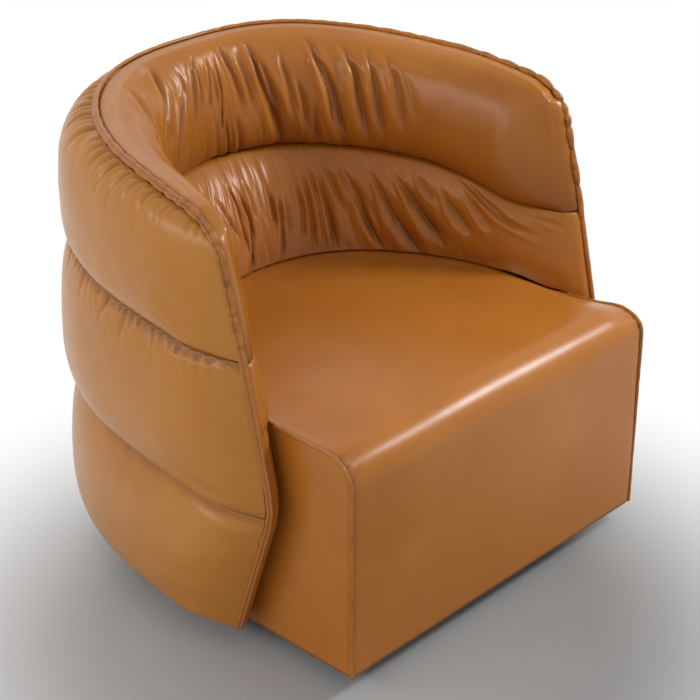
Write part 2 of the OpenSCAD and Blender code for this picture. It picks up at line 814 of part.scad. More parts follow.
// Soft forms of the barrel

arm_rings = 7;
half_stations = concat([for (i = [0:arm_rings - 1]) arm_share * pow(i / arm_rings, 1.4)],
    curve_stations);
taper_len = 90;         // length over which a channel swells from the arm's front
roll_taper_low = 150;   // the same for the rolls, at the seat
roll_taper_high = 130;  // and at the crease and above
welt_side = 2 * welt_r + rest_gap;

// Fullness of a padded form at a distance from the arm's front, from 0 to 1
function fullness(d, reach) = 1 - pow(1 - min(1, max(0, d / reach)), 2);
function from_front(q, start) =
    (arm_turn + mid_share * (barrel_d - arm_turn) - start) * min(1, q / arm_share);
function depth_at(q, start) = plan_xy(frame_half, barrel_d, plan_power, q, start)[1];

function both_sides(rings) = concat(rings,
    [for (i = [len(rings) - 2:-1:0]) [for (p = rings[i]) [-p[0], p[1], p[2]]]]);

// A point on a channel: side and back give its depth, and h its height
function channel_point(q, side, back, h) =
    let (start = arm_front(h) + welt_r + 1 + rest_gap,
        full = fullness(from_front(q, start), taper_len),
        edge = min(side, welt_side / 2),
        p = plan_xy(frame_half + rest_gap + edge + (side - edge) * full,
            barrel_d + rest_gap + back, plan_power, q, start))
    [p[0], p[1], h];

// Each row of a section is [share of the seam's depth, share of the swelling, share of the height]
channel_section = [[0, 0, 0], [1, 0, 0], [1, 0.7, 0.05], [1, 0.97, 0.16], [1, 1, 0.34],
    [1, 0.92, 0.56], [1, 0.7, 0.77], [1, 0.35, 0.92], [1, 0, 1], [0, 0, 1]];
hem_section = [[0, 0, 0], [0.45, 0, 0], [0.8, 0.1, 0.03], [0.97, 0.45, 0.1], [1, 0.85, 0.24],
    [1, 1, 0.42], [1, 0.92, 0.62], [1, 0.6, 0.82], [1, 0, 1], [0, 0, 1], [0, 0, 0.5]];
rim_section = [[0, 0, 0], [1, 0, 0], [1, 0.7, 0.05], [1, 0.97, 0.15], [1, 1, 0.36],
    [1, 0.9, 0.57], [1, 0.55, 0.76], [0.78, 0.35, 0.9], [0.42, 0.15, 0.98], [0, 0, 1]];

module channel(section, low, rim_line) {
    color(tan_leather) on_chair() skin(both_sides([for (q = half_stations)
        let (high = rim_line ? soft_rim_h(depth_at(q, top_setback)) - 2 * welt_r + 1 : low[1])
        [for (s = section) channel_point(q,
            s[0] * channel_side + s[1] * channel_swell,
            s[0] * channel_back + s[1] * channel_swell,
            low[0] + rest_gap / 2 + (high - low[0] - rest_gap) * s[2])]]));
}

module channel_lower() {
    channel(hem_section, [hem_h, seam_low_h], false);
}

module channel_middle() {
    channel(channel_section, [seam_low_h, seam_high_h], false);
}

module channel_upper() {
    channel(rim_section, [seam_high_h], true);
}

// A point on a roll: side and back give its depth inwards from the lining, and h its height
function roll_point(q, side, back, h) =
    let (start = arm_front(h) + facing_t + rest_gap,
        v = min(1, max(0, (h - seat_h) / (crease_front_h - seat_h))),
        full = fullness(from_front(q, start), roll_taper_low + (roll_taper_high - roll_taper_low) * v),
        share = min(1, max(0, side / crease_depth)),
        p = plan_xy(lining_half - rest_gap - max(0, side) * full - min(0, side),
            barrel_d - wall_t - rest_gap - back,
            plan_power + (roll_power - plan_power) * share, q, start))
    [p[0], p[1], h];

lower_swell = 12;
lower_section = [[0, 0], [0, 0.14], [0.5, 0.3], [0.9, 0.5], [1, 0.7], [0.75, 0.88], [0, 1]];

// Each row is [share of the swelling, share of the height]: the roll leans back as it rises
module roll_lower() {
    color(tan_leather) on_chair() skin(both_sides([for (q = half_stations)
        let (z0 = seat_h + rest_gap, z1 = crease_h(depth_at(q, seam_setback)) - rest_gap)
        concat([roll_point(q, 0, 0, z0)],
            [for (s = lower_section) roll_point(q,
                roll_seat_side + (crease_depth - roll_seat_side) * s[1] + lower_swell * s[0],
                roll_seat_back + (crease_depth - roll_seat_back) * s[1] + lower_swell * s[0],
                z0 + (z1 - z0) * s[1])],
            [roll_point(q, 0, 0, z1)])]));
}

// Each row is [share of the crease's depth, share of the swelling, share of the height]
upper_section = [[1, -0.2, 0], [1, 0.65, 0.05], [1, 0.97, 0.17], [1, 1, 0.34], [1, 0.82, 0.52],
    [1, 0.4, 0.7], [0.85, 0.1, 0.84], [0.5, 0, 0.95], [0, 0, 1]];

// The upper roll is carried over the frame's top to the rim's seam
module roll_upper() {
    over = rest_gap - wall_t + 1;
    color(tan_leather) on_chair() skin(both_sides([for (q = half_stations)
        let (y = depth_at(q, top_setback + facing_t), z1 = soft_rim_h(y) + 2,
            z0 = crease_h(depth_at(q, seam_setback)) + rest_gap,
            seat_z = rim_h(y) - frame_drop + rest_gap)
        concat([roll_point(q, 0, 0, z0)],
            [for (s = upper_section) roll_point(q, s[0] * crease_depth + s[1] * roll_swell,
                s[0] * crease_depth + s[1] * roll_swell, z0 + (z1 - z0) * s[2])],
            [roll_point(q, over, over, z1 - 2), roll_point(q, over, over, seat_z),
                roll_point(q, 0, 0, seat_z)])]));
}

// The facing wraps the arm panel's front edge from the hem to the rim's corner
facing_heights = [hem_h + 0.5, (hem_h + seam_low_h) / 2, seam_low_h - knee_round, seam_low_h,
    seam_low_h + knee_round, (seam_low_h + seam_high_h) / 2, seam_high_h,
    (seam_high_h + rim_front_h) / 2, rim_front_h - corner_drop - 24];

module arm_facing_right() {
    x0 = lining_half + rest_gap;
    x1 = frame_half - 1;
    r = facing_t / 2;
    top = rim_front_h - corner_drop - 6;
    function nose(h, t) = let (y = arm_front(h)) [[x0, y + t, h], [x0, y + t - r, h],
        [x0 + r / 3, y + t - 1.6 * r, h], [x0 + r, y + t - 2 * r, h], [x1 - r, y + t - 2 * r, h],
        [x1 - r / 3, y + t - 1.6 * r, h], [x1, y + t - r, h], [x1, y + t, h]];
    color(tan_leather) on_chair() skin(concat([for (h = facing_heights) nose(h, facing_t)],
        [[for (p = nose(top, facing_t)) [p[0], max(p[1], arm_front(top) + 4), soft_rim_h(p[1])]]]));
}

module arm_facing_left() {
    left_copy() arm_facing_right();
}

// The welt climbs one arm's front, follows the rim and comes down the other
welt_sides = 6;
welt_out = frame_half + welt_r;
front_welt = concat([for (i = [0:4]) hem_h + 2 + (seam_low_h - knee_round - hem_h - 2) * i / 4],
    [seam_low_h], [for (i = [0:3]) seam_low_h + knee_round
        + (seam_high_h - seam_low_h - knee_round) * i / 3],
    [for (i = [1:4]) seam_high_h + (rim_front_h - corner_drop - 8 - seam_high_h) * i / 4]);
rim_stations = [for (i = [1:34]) i / 34];

function rim_point(q) = let (p = plan_xy(welt_out, barrel_d + welt_r, plan_power, q, top_setback))
    [p[0], p[1], soft_rim_h(p[1]) - 1];
welt_right = concat([for (h = front_welt) [welt_out, arm_front(h) + 1, h]],
    [for (q = rim_stations) rim_point(q)]);
welt_path = concat(welt_right,
    [for (i = [len(welt_right) - 2:-1:0]) [-welt_right[i][0], welt_right[i][1], welt_right[i][2]]]);

function outward(p) = unit([p[0] / frame_half, max(0, p[1] - arm_turn) / (barrel_d - arm_turn), 0]);
module rim_welt() {
    color(dark_leather) on_chair()
        skin([for (i = [0:len(welt_path) - 1])
            tube_ring(welt_path, i, welt_r, welt_sides, outward(welt_path[i]))]);
}

glides();
base_disc();
lower_race_plate();
base_screws();
pivot_tube();
ball_cage();
bearing_balls();
upper_race_plate();
swivel_bolts();
swivel_board();
bearer_front();
bearer_rear();
front_rail();
side_rail_left();
side_rail_right();
angled_rail_left();
angled_rail_right();
rear_rail();
corner_blocks();
dust_cover();
seat_springs();
spring_clips();
spring_felt();
seat_foam();
front_padding();
side_padding_left();
side_padding_right();
seat_cover();
side_panel_left();
side_panel_right();
side_piping_left();
side_piping_right();
barrel_spacers();
barrel_bolts();
base_hoop();
seat_hoop();
top_hoop();
barrel_posts();
arm_panel_left();
arm_panel_right();
inner_lining();
outer_lining();
channel_lower();
channel_middle();
channel_upper();
roll_lower();
roll_upper();
arm_facing_left();
arm_facing_right();
rim_welt();
barrel_underside();
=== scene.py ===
import json
import math

import bmesh
import bpy
import numpy as np
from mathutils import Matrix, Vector


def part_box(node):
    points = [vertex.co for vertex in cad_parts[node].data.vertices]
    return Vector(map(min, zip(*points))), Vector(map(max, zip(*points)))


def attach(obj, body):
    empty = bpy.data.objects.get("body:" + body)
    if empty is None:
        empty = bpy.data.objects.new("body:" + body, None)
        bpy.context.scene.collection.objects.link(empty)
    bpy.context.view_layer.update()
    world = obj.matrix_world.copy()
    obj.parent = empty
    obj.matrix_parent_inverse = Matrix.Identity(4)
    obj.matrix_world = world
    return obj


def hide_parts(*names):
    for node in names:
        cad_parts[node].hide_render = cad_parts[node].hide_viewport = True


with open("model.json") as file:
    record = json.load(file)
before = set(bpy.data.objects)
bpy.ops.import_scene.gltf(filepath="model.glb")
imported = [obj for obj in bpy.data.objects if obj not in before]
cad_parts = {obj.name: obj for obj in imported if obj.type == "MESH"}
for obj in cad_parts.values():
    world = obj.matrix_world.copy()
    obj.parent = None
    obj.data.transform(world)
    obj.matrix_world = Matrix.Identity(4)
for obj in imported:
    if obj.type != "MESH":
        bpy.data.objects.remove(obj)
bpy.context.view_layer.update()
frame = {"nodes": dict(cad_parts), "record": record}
scene = bpy.context.scene
print("frame loaded,", len(frame["nodes"]), "nodes")

# Camera and light

camera = {"place": (-1.9040, -1.8861, 1.7068), "turn": (62.434, 0.0, -46.084), "lens": 95.5, "sensor": 36}
lamps = {  # place, what it points at, size and power
    "rightBox": ((1.75, -1.45, 1.95), (0, -0.35, 0.39), (0.6, 0.5), 39),
    "leftBox": ((-2.7, 0.4, 1.6), (0, 0, 0.35), (3.4, 0.5), 28.5),
    "backBox": ((0.7, 1.7, 2.3), (0, 0, 0.5), (1.4, 0.9), 5),
}

cameraData = bpy.data.cameras.new("camera")
cameraData.lens = camera["lens"]
cameraData.sensor_width = camera["sensor"]
cameraObject = bpy.data.objects.new("camera", cameraData)
cameraObject.location = camera["place"]
cameraObject.rotation_euler = [math.radians(a) for a in camera["turn"]]
scene.collection.objects.link(cameraObject)
scene.camera = cameraObject
scene.view_settings.view_transform = "Standard"

for name, (place, aim, size, power) in lamps.items():
    data = bpy.data.lights.new(name, "AREA")
    data.shape = "RECTANGLE"
    data.size, data.size_y = size
    data.energy = power
    lamp = bpy.data.objects.new(name, data)
    lamp.location = place
    lamp.rotation_euler = (Vector(aim) - Vector(place)).to_track_quat("-Z", "Y").to_euler()
    scene.collection.objects.link(lamp)


# Shader maths: a Wire is a socket that Python expressions can use

class Wire:
    def __init__(self, tree, socket):
        self.tree = tree
        self.socket = socket

    def node(self, kind, settings=None, inputs=None, output=0):
        return makeNode(self.tree, kind, settings, inputs, output)

    def __add__(self, other):
        return self.node("ShaderNodeMath", {"operation": "ADD"}, {0: self, 1: other})

    def __mul__(self, other):
        return self.node("ShaderNodeMath", {"operation": "MULTIPLY"}, {0: self, 1: other})

    __radd__ = __add__
    __rmul__ = __mul__


def makeNode(tree, kind, settings=None, inputs=None, output=0):
    node = tree.nodes.new(kind)
    for name, value in (settings or {}).items():
        setattr(node, name, value)
    for name, value in (inputs or {}).items():
        socket = node.inputs[name]
        if isinstance(value, Wire):
            tree.links.new(value.socket, socket)
        else:
            socket.default_value = (*value, 1.0) if socket.type == "RGBA" else value
    return Wire(tree, node.outputs[output])


looks = {}  # every material by its name here


def newMaterial(name):
    looks[name] = bpy.data.materials.new(name)
    looks[name].use_nodes = True
    looks[name].node_tree.nodes.clear()
    return makeNode(looks[name].node_tree, "ShaderNodeTexCoord", output="Object")


def showShader(shader):
    output = shader.tree.nodes.new("ShaderNodeOutputMaterial")
    shader.tree.links.new(shader.socket, output.inputs["Surface"])


def finishMaterial(colour, rough, height, strength, distance, more=None):
    bump = height.node("ShaderNodeBump", inputs={
        "Height": height, "Strength": strength, "Distance": distance})
    showShader(colour.node("ShaderNodeBsdfPrincipled", inputs={
        "Base Color": colour, "Roughness": rough, "Normal": bump, **(more or {})}))


def stretched(where, scale):
    return where.node("ShaderNodeMapping", inputs={"Vector": where, "Scale": scale})


def noise(where, scale, detail=3.0, rough=0.5):
    return where.node("ShaderNodeTexNoise", inputs={
        "Vector": where, "Scale": scale, "Detail": detail, "Roughness": rough})


def cellNoise(where, scale, feature="F1", output="Distance", **more):
    return where.node("ShaderNodeTexVoronoi", {"feature": feature},
        {"Vector": where, "Scale": scale, **more}, output)


def spread(value, low, high, toLow=0.0, toHigh=1.0):
    return value.node("ShaderNodeMapRange", inputs={
        "Value": value, "From Min": low, "From Max": high, "To Min": toLow, "To Max": toHigh})


def mixColour(factor, first, second):
    return factor.node("ShaderNodeMix", {"data_type": "RGBA"}, {0: factor, 6: first, 7: second}, 2)


def linear(colour):
    return tuple(((c / 255 + 0.055) / 1.055) ** 2.4 if c > 10 else c / 255 / 12.92 for c in colour)


leather = {
    "roughness": 0.29, "specular": 0.3, "pebble": 660.0, "crease": 260.0, "grainDepth": 0.00006,
    # Each hide's valley colour is painted shade, put where its fold attribute is below 0.
    "hides": {  # base, deep, pale and valley
        "seatHide": ((186, 115, 42), (180, 109, 38), (200, 132, 60), (112, 58, 14)),
        "outerHide": ((190, 126, 51), (184, 119, 46), (204, 142, 68), (120, 68, 20)),
        "innerHide": ((183, 114, 40), (176, 106, 34), (196, 130, 58), (84, 38, 6)),
        "weltHide": ((184, 119, 50), (174, 109, 44), (202, 140, 72), (66, 30, 8)),
    },
}


# Smooth hide. The fold attribute is below 0 in a valley and above 0 on a ridge. Below 0 the colour is
# darkened towards the valley colour, as painted shade, and above 0 it is made a little paler.
def makeLeather(name, colours):
    base, deep, pale, valley = map(linear, colours)
    where = newMaterial(name)
    mottle = noise(where, 42.0, 3.0, 0.6)
    fold = where.node("ShaderNodeAttribute", {"attribute_name": "fold"}, output="Fac")
    colour = mixColour(spread(noise(where, 7.0, 4.0, 0.55), 0.35, 0.65), deep, base)
    colour = mixColour(spread(mottle, 0.42, 0.75, 0.0, 0.07), colour, pale)
    colour = mixColour(spread(fold, -0.1, -1.0, 0.0, 0.7), colour, valley)
    colour = mixColour(spread(fold, 0.2, 1.0, 0.0, 0.35), colour, pale)
    pebble = cellNoise(where, leather["pebble"], "SMOOTH_F1", Smoothness=0.6)
    height = pebble * 0.5 + noise(where, leather["crease"], 3.0, 0.6) * 0.7
    rough = spread(mottle, 0.3, 0.7, leather["roughness"] - 0.015, leather["roughness"] + 0.02)
    finishMaterial(colour, rough, height, 0.35, leather["grainDepth"],
        {"Specular IOR Level": leather["specular"]})


for name, colours in leather["hides"].items():
    makeLeather(name, colours)
print("leather ready")

# Filling, cloth, wood and metal

stuffs = {
    "cutFoam": {"light": (236, 228, 196), "dark": (206, 192, 150), "cells": 420.0},
    "needleFelt": {"light": (150, 144, 134), "dark": (84, 80, 76), "fibres": 700.0},
    "spunCloth": {"light": (44, 44, 47), "dark": (24, 24, 26), "dots": 330.0, "fibres": 900.0},
    "plywood": {"light": (226, 196, 148), "dark": (198, 158, 106), "rings": (2, 26, 26), "pores": 500.0},
    "hardwood": {"light": (204, 160, 112), "dark": (166, 118, 74), "rings": (3, 44, 30), "pores": 700.0},
    "fibreboard": {"light": (158, 128, 92), "dark": (128, 100, 68), "rings": (70, 70, 70), "pores": 900.0},
    "zinc": {"light": (196, 200, 204), "dark": (168, 172, 178), "rough": 0.3},
    "brass": {"light": (222, 184, 104), "dark": (196, 154, 74), "rough": 0.26},
    "mattPlastic": {"light": (46, 46, 49), "dark": (34, 34, 36), "grain": 800.0},
}


def shaded(name, pattern, low, high):
    return mixColour(spread(pattern, low, high), linear(stuffs[name]["dark"]), linear(stuffs[name]["light"]))


def makeFoamLook(name):
    spec, where = stuffs[name], newMaterial(name)
    cells = cellNoise(where, spec["cells"])
    colour = shaded(name, cells * 0.7 + noise(where, 14.0) * 0.5, 0.25, 0.8)
    finishMaterial(colour, 0.95, cells, 0.6, 0.0009)


def makeFeltLook(name):
    spec, where = stuffs[name], newMaterial(name)
    fibres = noise(stretched(where, (1.0, 0.25, 1.0)), spec["fibres"], 4.0, 0.7)
    crossed = noise(stretched(where, (0.25, 1.0, 1.0)), spec["fibres"], 4.0, 0.7)
    mixed = fibres * 0.5 + crossed * 0.5
    finishMaterial(shaded(name, mixed, 0.35, 0.65), 0.97, mixed, 0.7, 0.0008)


def makeClothLook(name):
    spec, where = stuffs[name], newMaterial(name)
    dots = cellNoise(where, spec["dots"], Randomness=0.15)
    fibres = noise(where, spec["fibres"], 4.0, 0.7)
    finishMaterial(shaded(name, dots * 0.6 + fibres * 0.6, 0.3, 0.8), 0.88, dots + fibres * 0.4, 0.5, 0.0004)


def makeWoodLook(name):
    spec, where = stuffs[name], newMaterial(name)
    rings = noise(stretched(where, spec["rings"]), 1.0, 5.0, 0.62)
    pores = noise(stretched(where, (0.06, 1.0, 1.0)), spec["pores"], 2.0, 0.5)
    colour = shaded(name, rings, 0.34, 0.66)
    colour = mixColour(spread(pores, 0.5, 0.75, 0.0, 0.4), colour, linear(spec["dark"]))
    finishMaterial(colour, spread(pores, 0.3, 0.7, 0.55, 0.72), rings * 0.4 + pores * 0.6, 0.3, 0.0004)


def makeMetalLook(name):
    spec, where = stuffs[name], newMaterial(name)
    spangle = cellNoise(where, 160.0, output="Color")
    grey = where.node("ShaderNodeSeparateColor", inputs={"Color": spangle}, output="Red")
    wear = noise(where, 60.0, 4.0, 0.6)
    rough = spread(wear, 0.3, 0.7, spec["rough"] - 0.06, spec["rough"] + 0.12)
    colour = shaded(name, grey * 0.5 + wear * 0.5, 0.2, 0.8)
    finishMaterial(colour, rough, wear, 0.1, 0.0002, {"Metallic": 1.0})


def makePlasticLook(name):
    spec, where = stuffs[name], newMaterial(name)
    grain = noise(where, spec["grain"], 2.0, 0.5)
    colour = shaded(name, noise(where, 40.0), 0.35, 0.65)
    finishMaterial(colour, spread(grain, 0.3, 0.7, 0.45, 0.6), grain, 0.3, 0.0002)


makeFoamLook("cutFoam")
makeFeltLook("needleFelt")
makeClothLook("spunCloth")
makePlasticLook("mattPlastic")
for name in ("plywood", "hardwood", "fibreboard"):
    makeWoodLook(name)
for name in ("zinc", "brass"):
    makeMetalLook(name)

slotLooks = {
    "plywood": "plywood", "hardwood": "hardwood", "fibreboard": "fibreboard", "zinc_steel": "zinc",
    "cage_brass": "brass", "glide_plastic": "mattPlastic", "foam": "cutFoam", "felt": "needleFelt",
    "black_cloth": "spunCloth", "tan_leather": "innerHide", "welt_leather": "weltHide",
}
slotOf = {part["node"]: part["material_slot"] for part in frame["record"]["subparts"]}
for node, slot in slotOf.items():
    for materialSlot in frame["nodes"][node].material_slots:
        materialSlot.material = looks[slotLooks[slot]]
print("finishes ready")

# The barrel's plan and heights, the same as in the part's source

barrel = {
    "lining": 349.5, "frame": 375.5, "depth": 700.0, "wall": 26.0, "turn": 142.0, "axis": 381.4,
    "power": 2.6, "rollPower": 2.2, "midShare": 0.3, "armShare": 0.2, "gap": 0.3,
    "rimFront": 690.0, "rimBack": 763.0, "topSetback": 214.0, "seamSetback": 169.0,
    "seamHigh": 517.0, "seamLow": 281.0, "hem": 44.0, "creaseFront": 524.0, "creaseBack": 571.0,
    "facing": 12.0, "welt": 4.0, "seat": 397.0, "dipFrom": 440.0, "dipOver": 60.0,
    "front": [(44.0, 196.0), (251.0, 126.13), (281.0, 120.19), (311.0, 122.74), (517.0, 169.0),
              (690.0, 214.0)],
    "bow": ([214, 226, 239, 252, 263, 288, 364, 409, 450, 523, 610, 700],
            [-24, -10, 0, 5, 8, 9.5, 9.3, 7.5, 4, 0, -3.5, -3.5]),
    "creaseDip": ([484, 530, 576, 622, 668, 704, 746], [2, 6, 12, 19, 23, 22, 21]),
}


def clamp(t):
    return np.clip(t, 0, 1)


def eased(t):
    t = clamp(t)
    return t * t * (3 - 2 * t)


def curveHalf(half, k, power):
    return half * (1 - k ** power) ** (1 / power)


def planPoint(half, back, power, q, start):
    b = back - barrel["turn"]
    mid = barrel["turn"] + barrel["midShare"] * b
    yArm = start + (mid - start) * q / barrel["armShare"]
    xArm = curveHalf(half, clamp((yArm - barrel["turn"]) / b), power)
    t0 = np.arcsin(barrel["midShare"] ** (power / 2))
    t = t0 + (np.pi / 2 - t0) * clamp((q - barrel["armShare"]) / (1 - barrel["armShare"]))
    xBack = half * np.maximum(0, np.cos(t)) ** (2 / power)
    yBack = barrel["turn"] + b * np.sin(t) ** (2 / power)
    onArm = q < barrel["armShare"]
    return np.where(onArm, xArm, xBack), np.where(onArm, yArm, yBack)


def armFront(h):
    heights, setbacks = zip(*barrel["front"])
    return np.interp(h, heights, setbacks)


def rimHeight(y):
    slope = (barrel["rimBack"] - barrel["rimFront"]) / (barrel["depth"] - barrel["topSetback"])
    return barrel["rimFront"] + (y - barrel["topSetback"]) * slope


# The leather rounds the rim's front corner and bows up a little behind it
def softRim(y):
    return rimHeight(y) + np.interp(y, *barrel["bow"])


def creaseHeight(y, along):
    slope = (barrel["creaseBack"] - barrel["creaseFront"]) / (barrel["depth"] - barrel["seamSetback"])
    straight = barrel["creaseFront"] + slope * (y - barrel["seamSetback"])
    dip = np.interp(np.abs(along), *barrel["creaseDip"])
    return straight - dip * eased((np.abs(along) - barrel["dipFrom"]) / barrel["dipOver"])


def depthAt(q, start):
    return planPoint(barrel["frame"], barrel["depth"], barrel["power"], q, start)[1]


def fullness(distance, reach):
    return 1 - (1 - clamp(distance / reach)) ** 2


def fromFront(q, start):
    arm = barrel["turn"] + barrel["midShare"] * (barrel["depth"] - barrel["turn"]) - start
    return arm * np.minimum(1, q / barrel["armShare"])


# Stations along the horseshoe, from the left arm's front to the right one's. along is the distance in
# millimetres from the middle of the back, and is negative on the left.
def stations(step, ends=(1.5, 3.0, 4.5)):
    q = np.linspace(0, 1, 4001)
    x, y = planPoint(barrel["frame"], barrel["depth"], barrel["power"], q, 170.0)
    run = np.concatenate([[0], np.cumsum(np.hypot(np.diff(x), np.diff(y)))])
    total = run[-1]
    count = int(round(total / step))
    distance = np.unique(np.concatenate([np.linspace(0, total, count + 1), np.array(ends)]))
    qRight = np.interp(distance, run, q)
    side = np.concatenate([-np.ones(len(qRight)), np.ones(len(qRight) - 1)])
    return (np.concatenate([qRight, qRight[-2::-1]]), side,
        np.concatenate([distance - total, (total - distance)[-2::-1]]))


def runOf(points):
    return np.concatenate([[0], np.cumsum(np.linalg.norm(np.diff(points, axis=0), axis=1))])


# A line's points again at even distances, and how far along it they are
def evenPath(points, step, scale=1):
    run = runOf(points * scale)
    at = np.linspace(0, run[-1], int(round(run[-1] / step)) + 1)
    return np.stack([np.interp(at, run, column) for column in points.T], -1), at


# A smooth line through rows, as evenPath gives it. scale is what a unit of each column measures.
def smoothRows(rows, step, scale=1):
    rows = np.array(rows, float)
    ends = np.vstack([2 * rows[0] - rows[1], rows, 2 * rows[-1] - rows[-2]])
    points = []
    for a, b, c, d in zip(ends, ends[1:], ends[2:], ends[3:]):
        for t in np.arange(0, 1, 0.05):
            points.append(0.5 * (2 * b + (c - a) * t + (2 * a - 5 * b + 4 * c - d) * t * t
                + (3 * b - a - 3 * c + d) * t ** 3))
    points.append(ends[-2])
    return evenPath(np.array(points), step, scale)


def smoothed(points):
    even = points.copy()
    even[1:-1] = (points[:-2] + 2 * points[1:-1] + points[2:]) / 4
    return even


def grid(x, y, z):
    return np.stack(np.broadcast_arrays(x, y, z), -1)


# Smooth noise from -1 to 1 on a plane, the same in every run

def hashed(i, seed, j=0):
    n = (i * 374761393 + j * 668265263 + seed * 974711) & 0xffffffff
    n = ((n ^ (n >> 13)) * 1274126177) & 0xffffffff
    return ((n ^ (n >> 16)) & 0xffff) / 32767.5 - 1


def softNoise(x, y, seed):
    i, j = (np.floor(v).astype(np.int64) for v in (x, y))
    fx = eased(x - i)
    fy = eased(y - j)
    low = hashed(i, seed, j) * (1 - fx) + hashed(i + 1, seed, j) * fx
    high = hashed(i, seed, j + 1) * (1 - fx) + hashed(i + 1, seed, j + 1) * fx
    return low * (1 - fy) + high * fy


# Gathers along a seam: sharp valleys between round ridges, at a distance from the seam
def gathers(along, distance, spec, seed):
    warp = 0.9 * softNoise(along / 70, distance / 80, seed)
    phase = (along + spec.get("lean", 0) * distance) / spec["pitch"] + warp
    fold = np.round(phase).astype(np.int64)
    size = 0.55 + 0.45 * hashed(fold, seed + 1)
    reach = spec["reach"] * (0.9 + 0.5 * hashed(fold, seed + 2))
    valley = 1 - np.abs(np.sin(np.pi * phase)) ** spec.get("sharp", 0.8)
    near = (1 - np.exp(-distance / 2.5)) * np.exp(-(distance / reach) ** spec.get("fade", 1.4))
    return -spec["depth"] * size * valley * near


# A smooth line through places on a face, run on past its ends, and how far along each point is, from 0 to 1
def foldLine(places):
    places = np.array(places, float)
    before = places[0] + 0.25 * (places[0] - places[1])
    after = places[-1] + 0.4 * (places[-1] - places[-2])
    line = smoothRows([before, *places, after], 4.0)[0]
    run = runOf(line)
    return line, run / run[-1]


# One fold drawn along a line: a valley that starts sharp and widens, steep towards the left of the chair
# under a high ridge, and gentle towards the right. grow is the share of the width that it starts with.
def drawnFold(along, up, width, depth, grow, *places):
    height = np.zeros_like(along)
    line, share = foldLine(places)
    reach = 7 * width
    near = np.nonzero((along > line[:, 0].min() - reach) & (along < line[:, 0].max() + reach)
        & (up > line[:, 1].min() - reach) & (up < line[:, 1].max() + reach))[0]
    spot = np.stack([along[near], up[near]], -1)
    best = np.full(len(near), 1e9)
    off = np.zeros(len(near))
    at = np.zeros(len(near))
    for i in range(len(line) - 1):
        step = line[i + 1] - line[i]
        t = clamp(((spot - line[i]) @ step) / (step @ step))
        gap = spot - line[i] - t[:, None] * step
        far = np.hypot(gap[:, 0], gap[:, 1])
        closer = far < best
        best[closer] = far[closer]
        side = np.sign(gap[:, 0] * step[1] - gap[:, 1] * step[0])
        off[closer] = (far * side)[closer]
        at[closer] = (share[i] + t * (share[i + 1] - share[i]))[closer]
    wide = width * (grow + (1 - grow) * eased(at / 0.6))
    taper = eased(at / 0.35) * eased((1.0 - at) / 0.35)
    valley = np.exp(-(np.abs(off) / (wide * np.where(off > 0, 1.0, 2.1))) ** 1.15)
    crest = np.where(off > 0, 0.45, 0.15)
    ridge = np.exp(-((np.abs(off) - 3.2 * wide) / (1.9 * wide)) ** 2)
    height[near] = depth * taper * (crest * ridge - valley)
    return height


def selectOnly(piece):
    bpy.ops.object.select_all(action="DESELECT")
    bpy.context.view_layer.objects.active = piece
    piece.select_set(True)


def readPoints(piece):
    points = np.zeros(len(piece.data.vertices) * 3)
    piece.data.vertices.foreach_get("co", points)
    return points.reshape(-1, 3)


def writePoints(piece, points):
    piece.data.vertices.foreach_set("co", points.reshape(-1))
    piece.data.update()


def storeValues(piece, name, values):
    attribute = piece.data.attributes.new(name, "FLOAT", "POINT")
    attribute.data.foreach_set("value", values.reshape(-1).astype(np.float32))


def readValues(piece, name):
    values = np.zeros(len(piece.data.vertices), np.float32)
    piece.data.attributes[name].data.foreach_get("value", values)
    return values.astype(float)


# A closed mesh from a grid of rings, whose points run round the section. ends is capped, open or joined.
def makeMesh(name, rings, fold=None, ends="capped"):
    m, n = rings.shape[:2]
    points = rings.reshape(-1, 3).copy()
    points[:, 1] -= barrel["axis"]
    i, j = np.meshgrid(np.arange(m if ends == "joined" else m - 1), np.arange(n), indexing="ij")
    after = (i + 1) % m
    k = (j + 1) % n
    faces = np.stack([i * n + j, after * n + j, after * n + k, i * n + k], -1).reshape(-1, 4).tolist()
    if ends == "capped":
        faces.append(list(range(n)))
        faces.append(list(range(m * n - 1, (m - 1) * n - 1, -1)))
    mesh = bpy.data.meshes.new(name)
    mesh.from_pydata((points / 1000).tolist(), [], faces)
    mesh.validate()
    piece = bpy.data.objects.new(name, mesh)
    scene.collection.objects.link(piece)
    selectOnly(piece)
    bpy.ops.object.mode_set(mode="EDIT")
    bpy.ops.mesh.select_all(action="SELECT")
    bpy.ops.mesh.normals_make_consistent(inside=False)
    bpy.ops.object.mode_set(mode="OBJECT")
    mesh.shade_smooth()
    if fold is not None:
        storeValues(piece, "fold", fold)
    return piece


def applyModifier(piece, modifier):
    selectOnly(piece)
    bpy.ops.object.modifier_apply(modifier=modifier.name)


def subdivide(piece):
    modifier = piece.modifiers.new("Subdivision", "SUBSURF")
    modifier.levels = 1
    modifier.render_levels = 1
    applyModifier(piece, modifier)


puffing = {
    "frames": 20, "cap": 6,
    "settings": {
        "quality": 4, "mass": 0.4, "tension_stiffness": 12.0, "compression_stiffness": 12.0,
        "shear_stiffness": 4.0, "bending_stiffness": 0.6, "use_pressure": True,
        "vertex_group_mass": "pinned", "pin_stiffness": 1.0,
    },
}


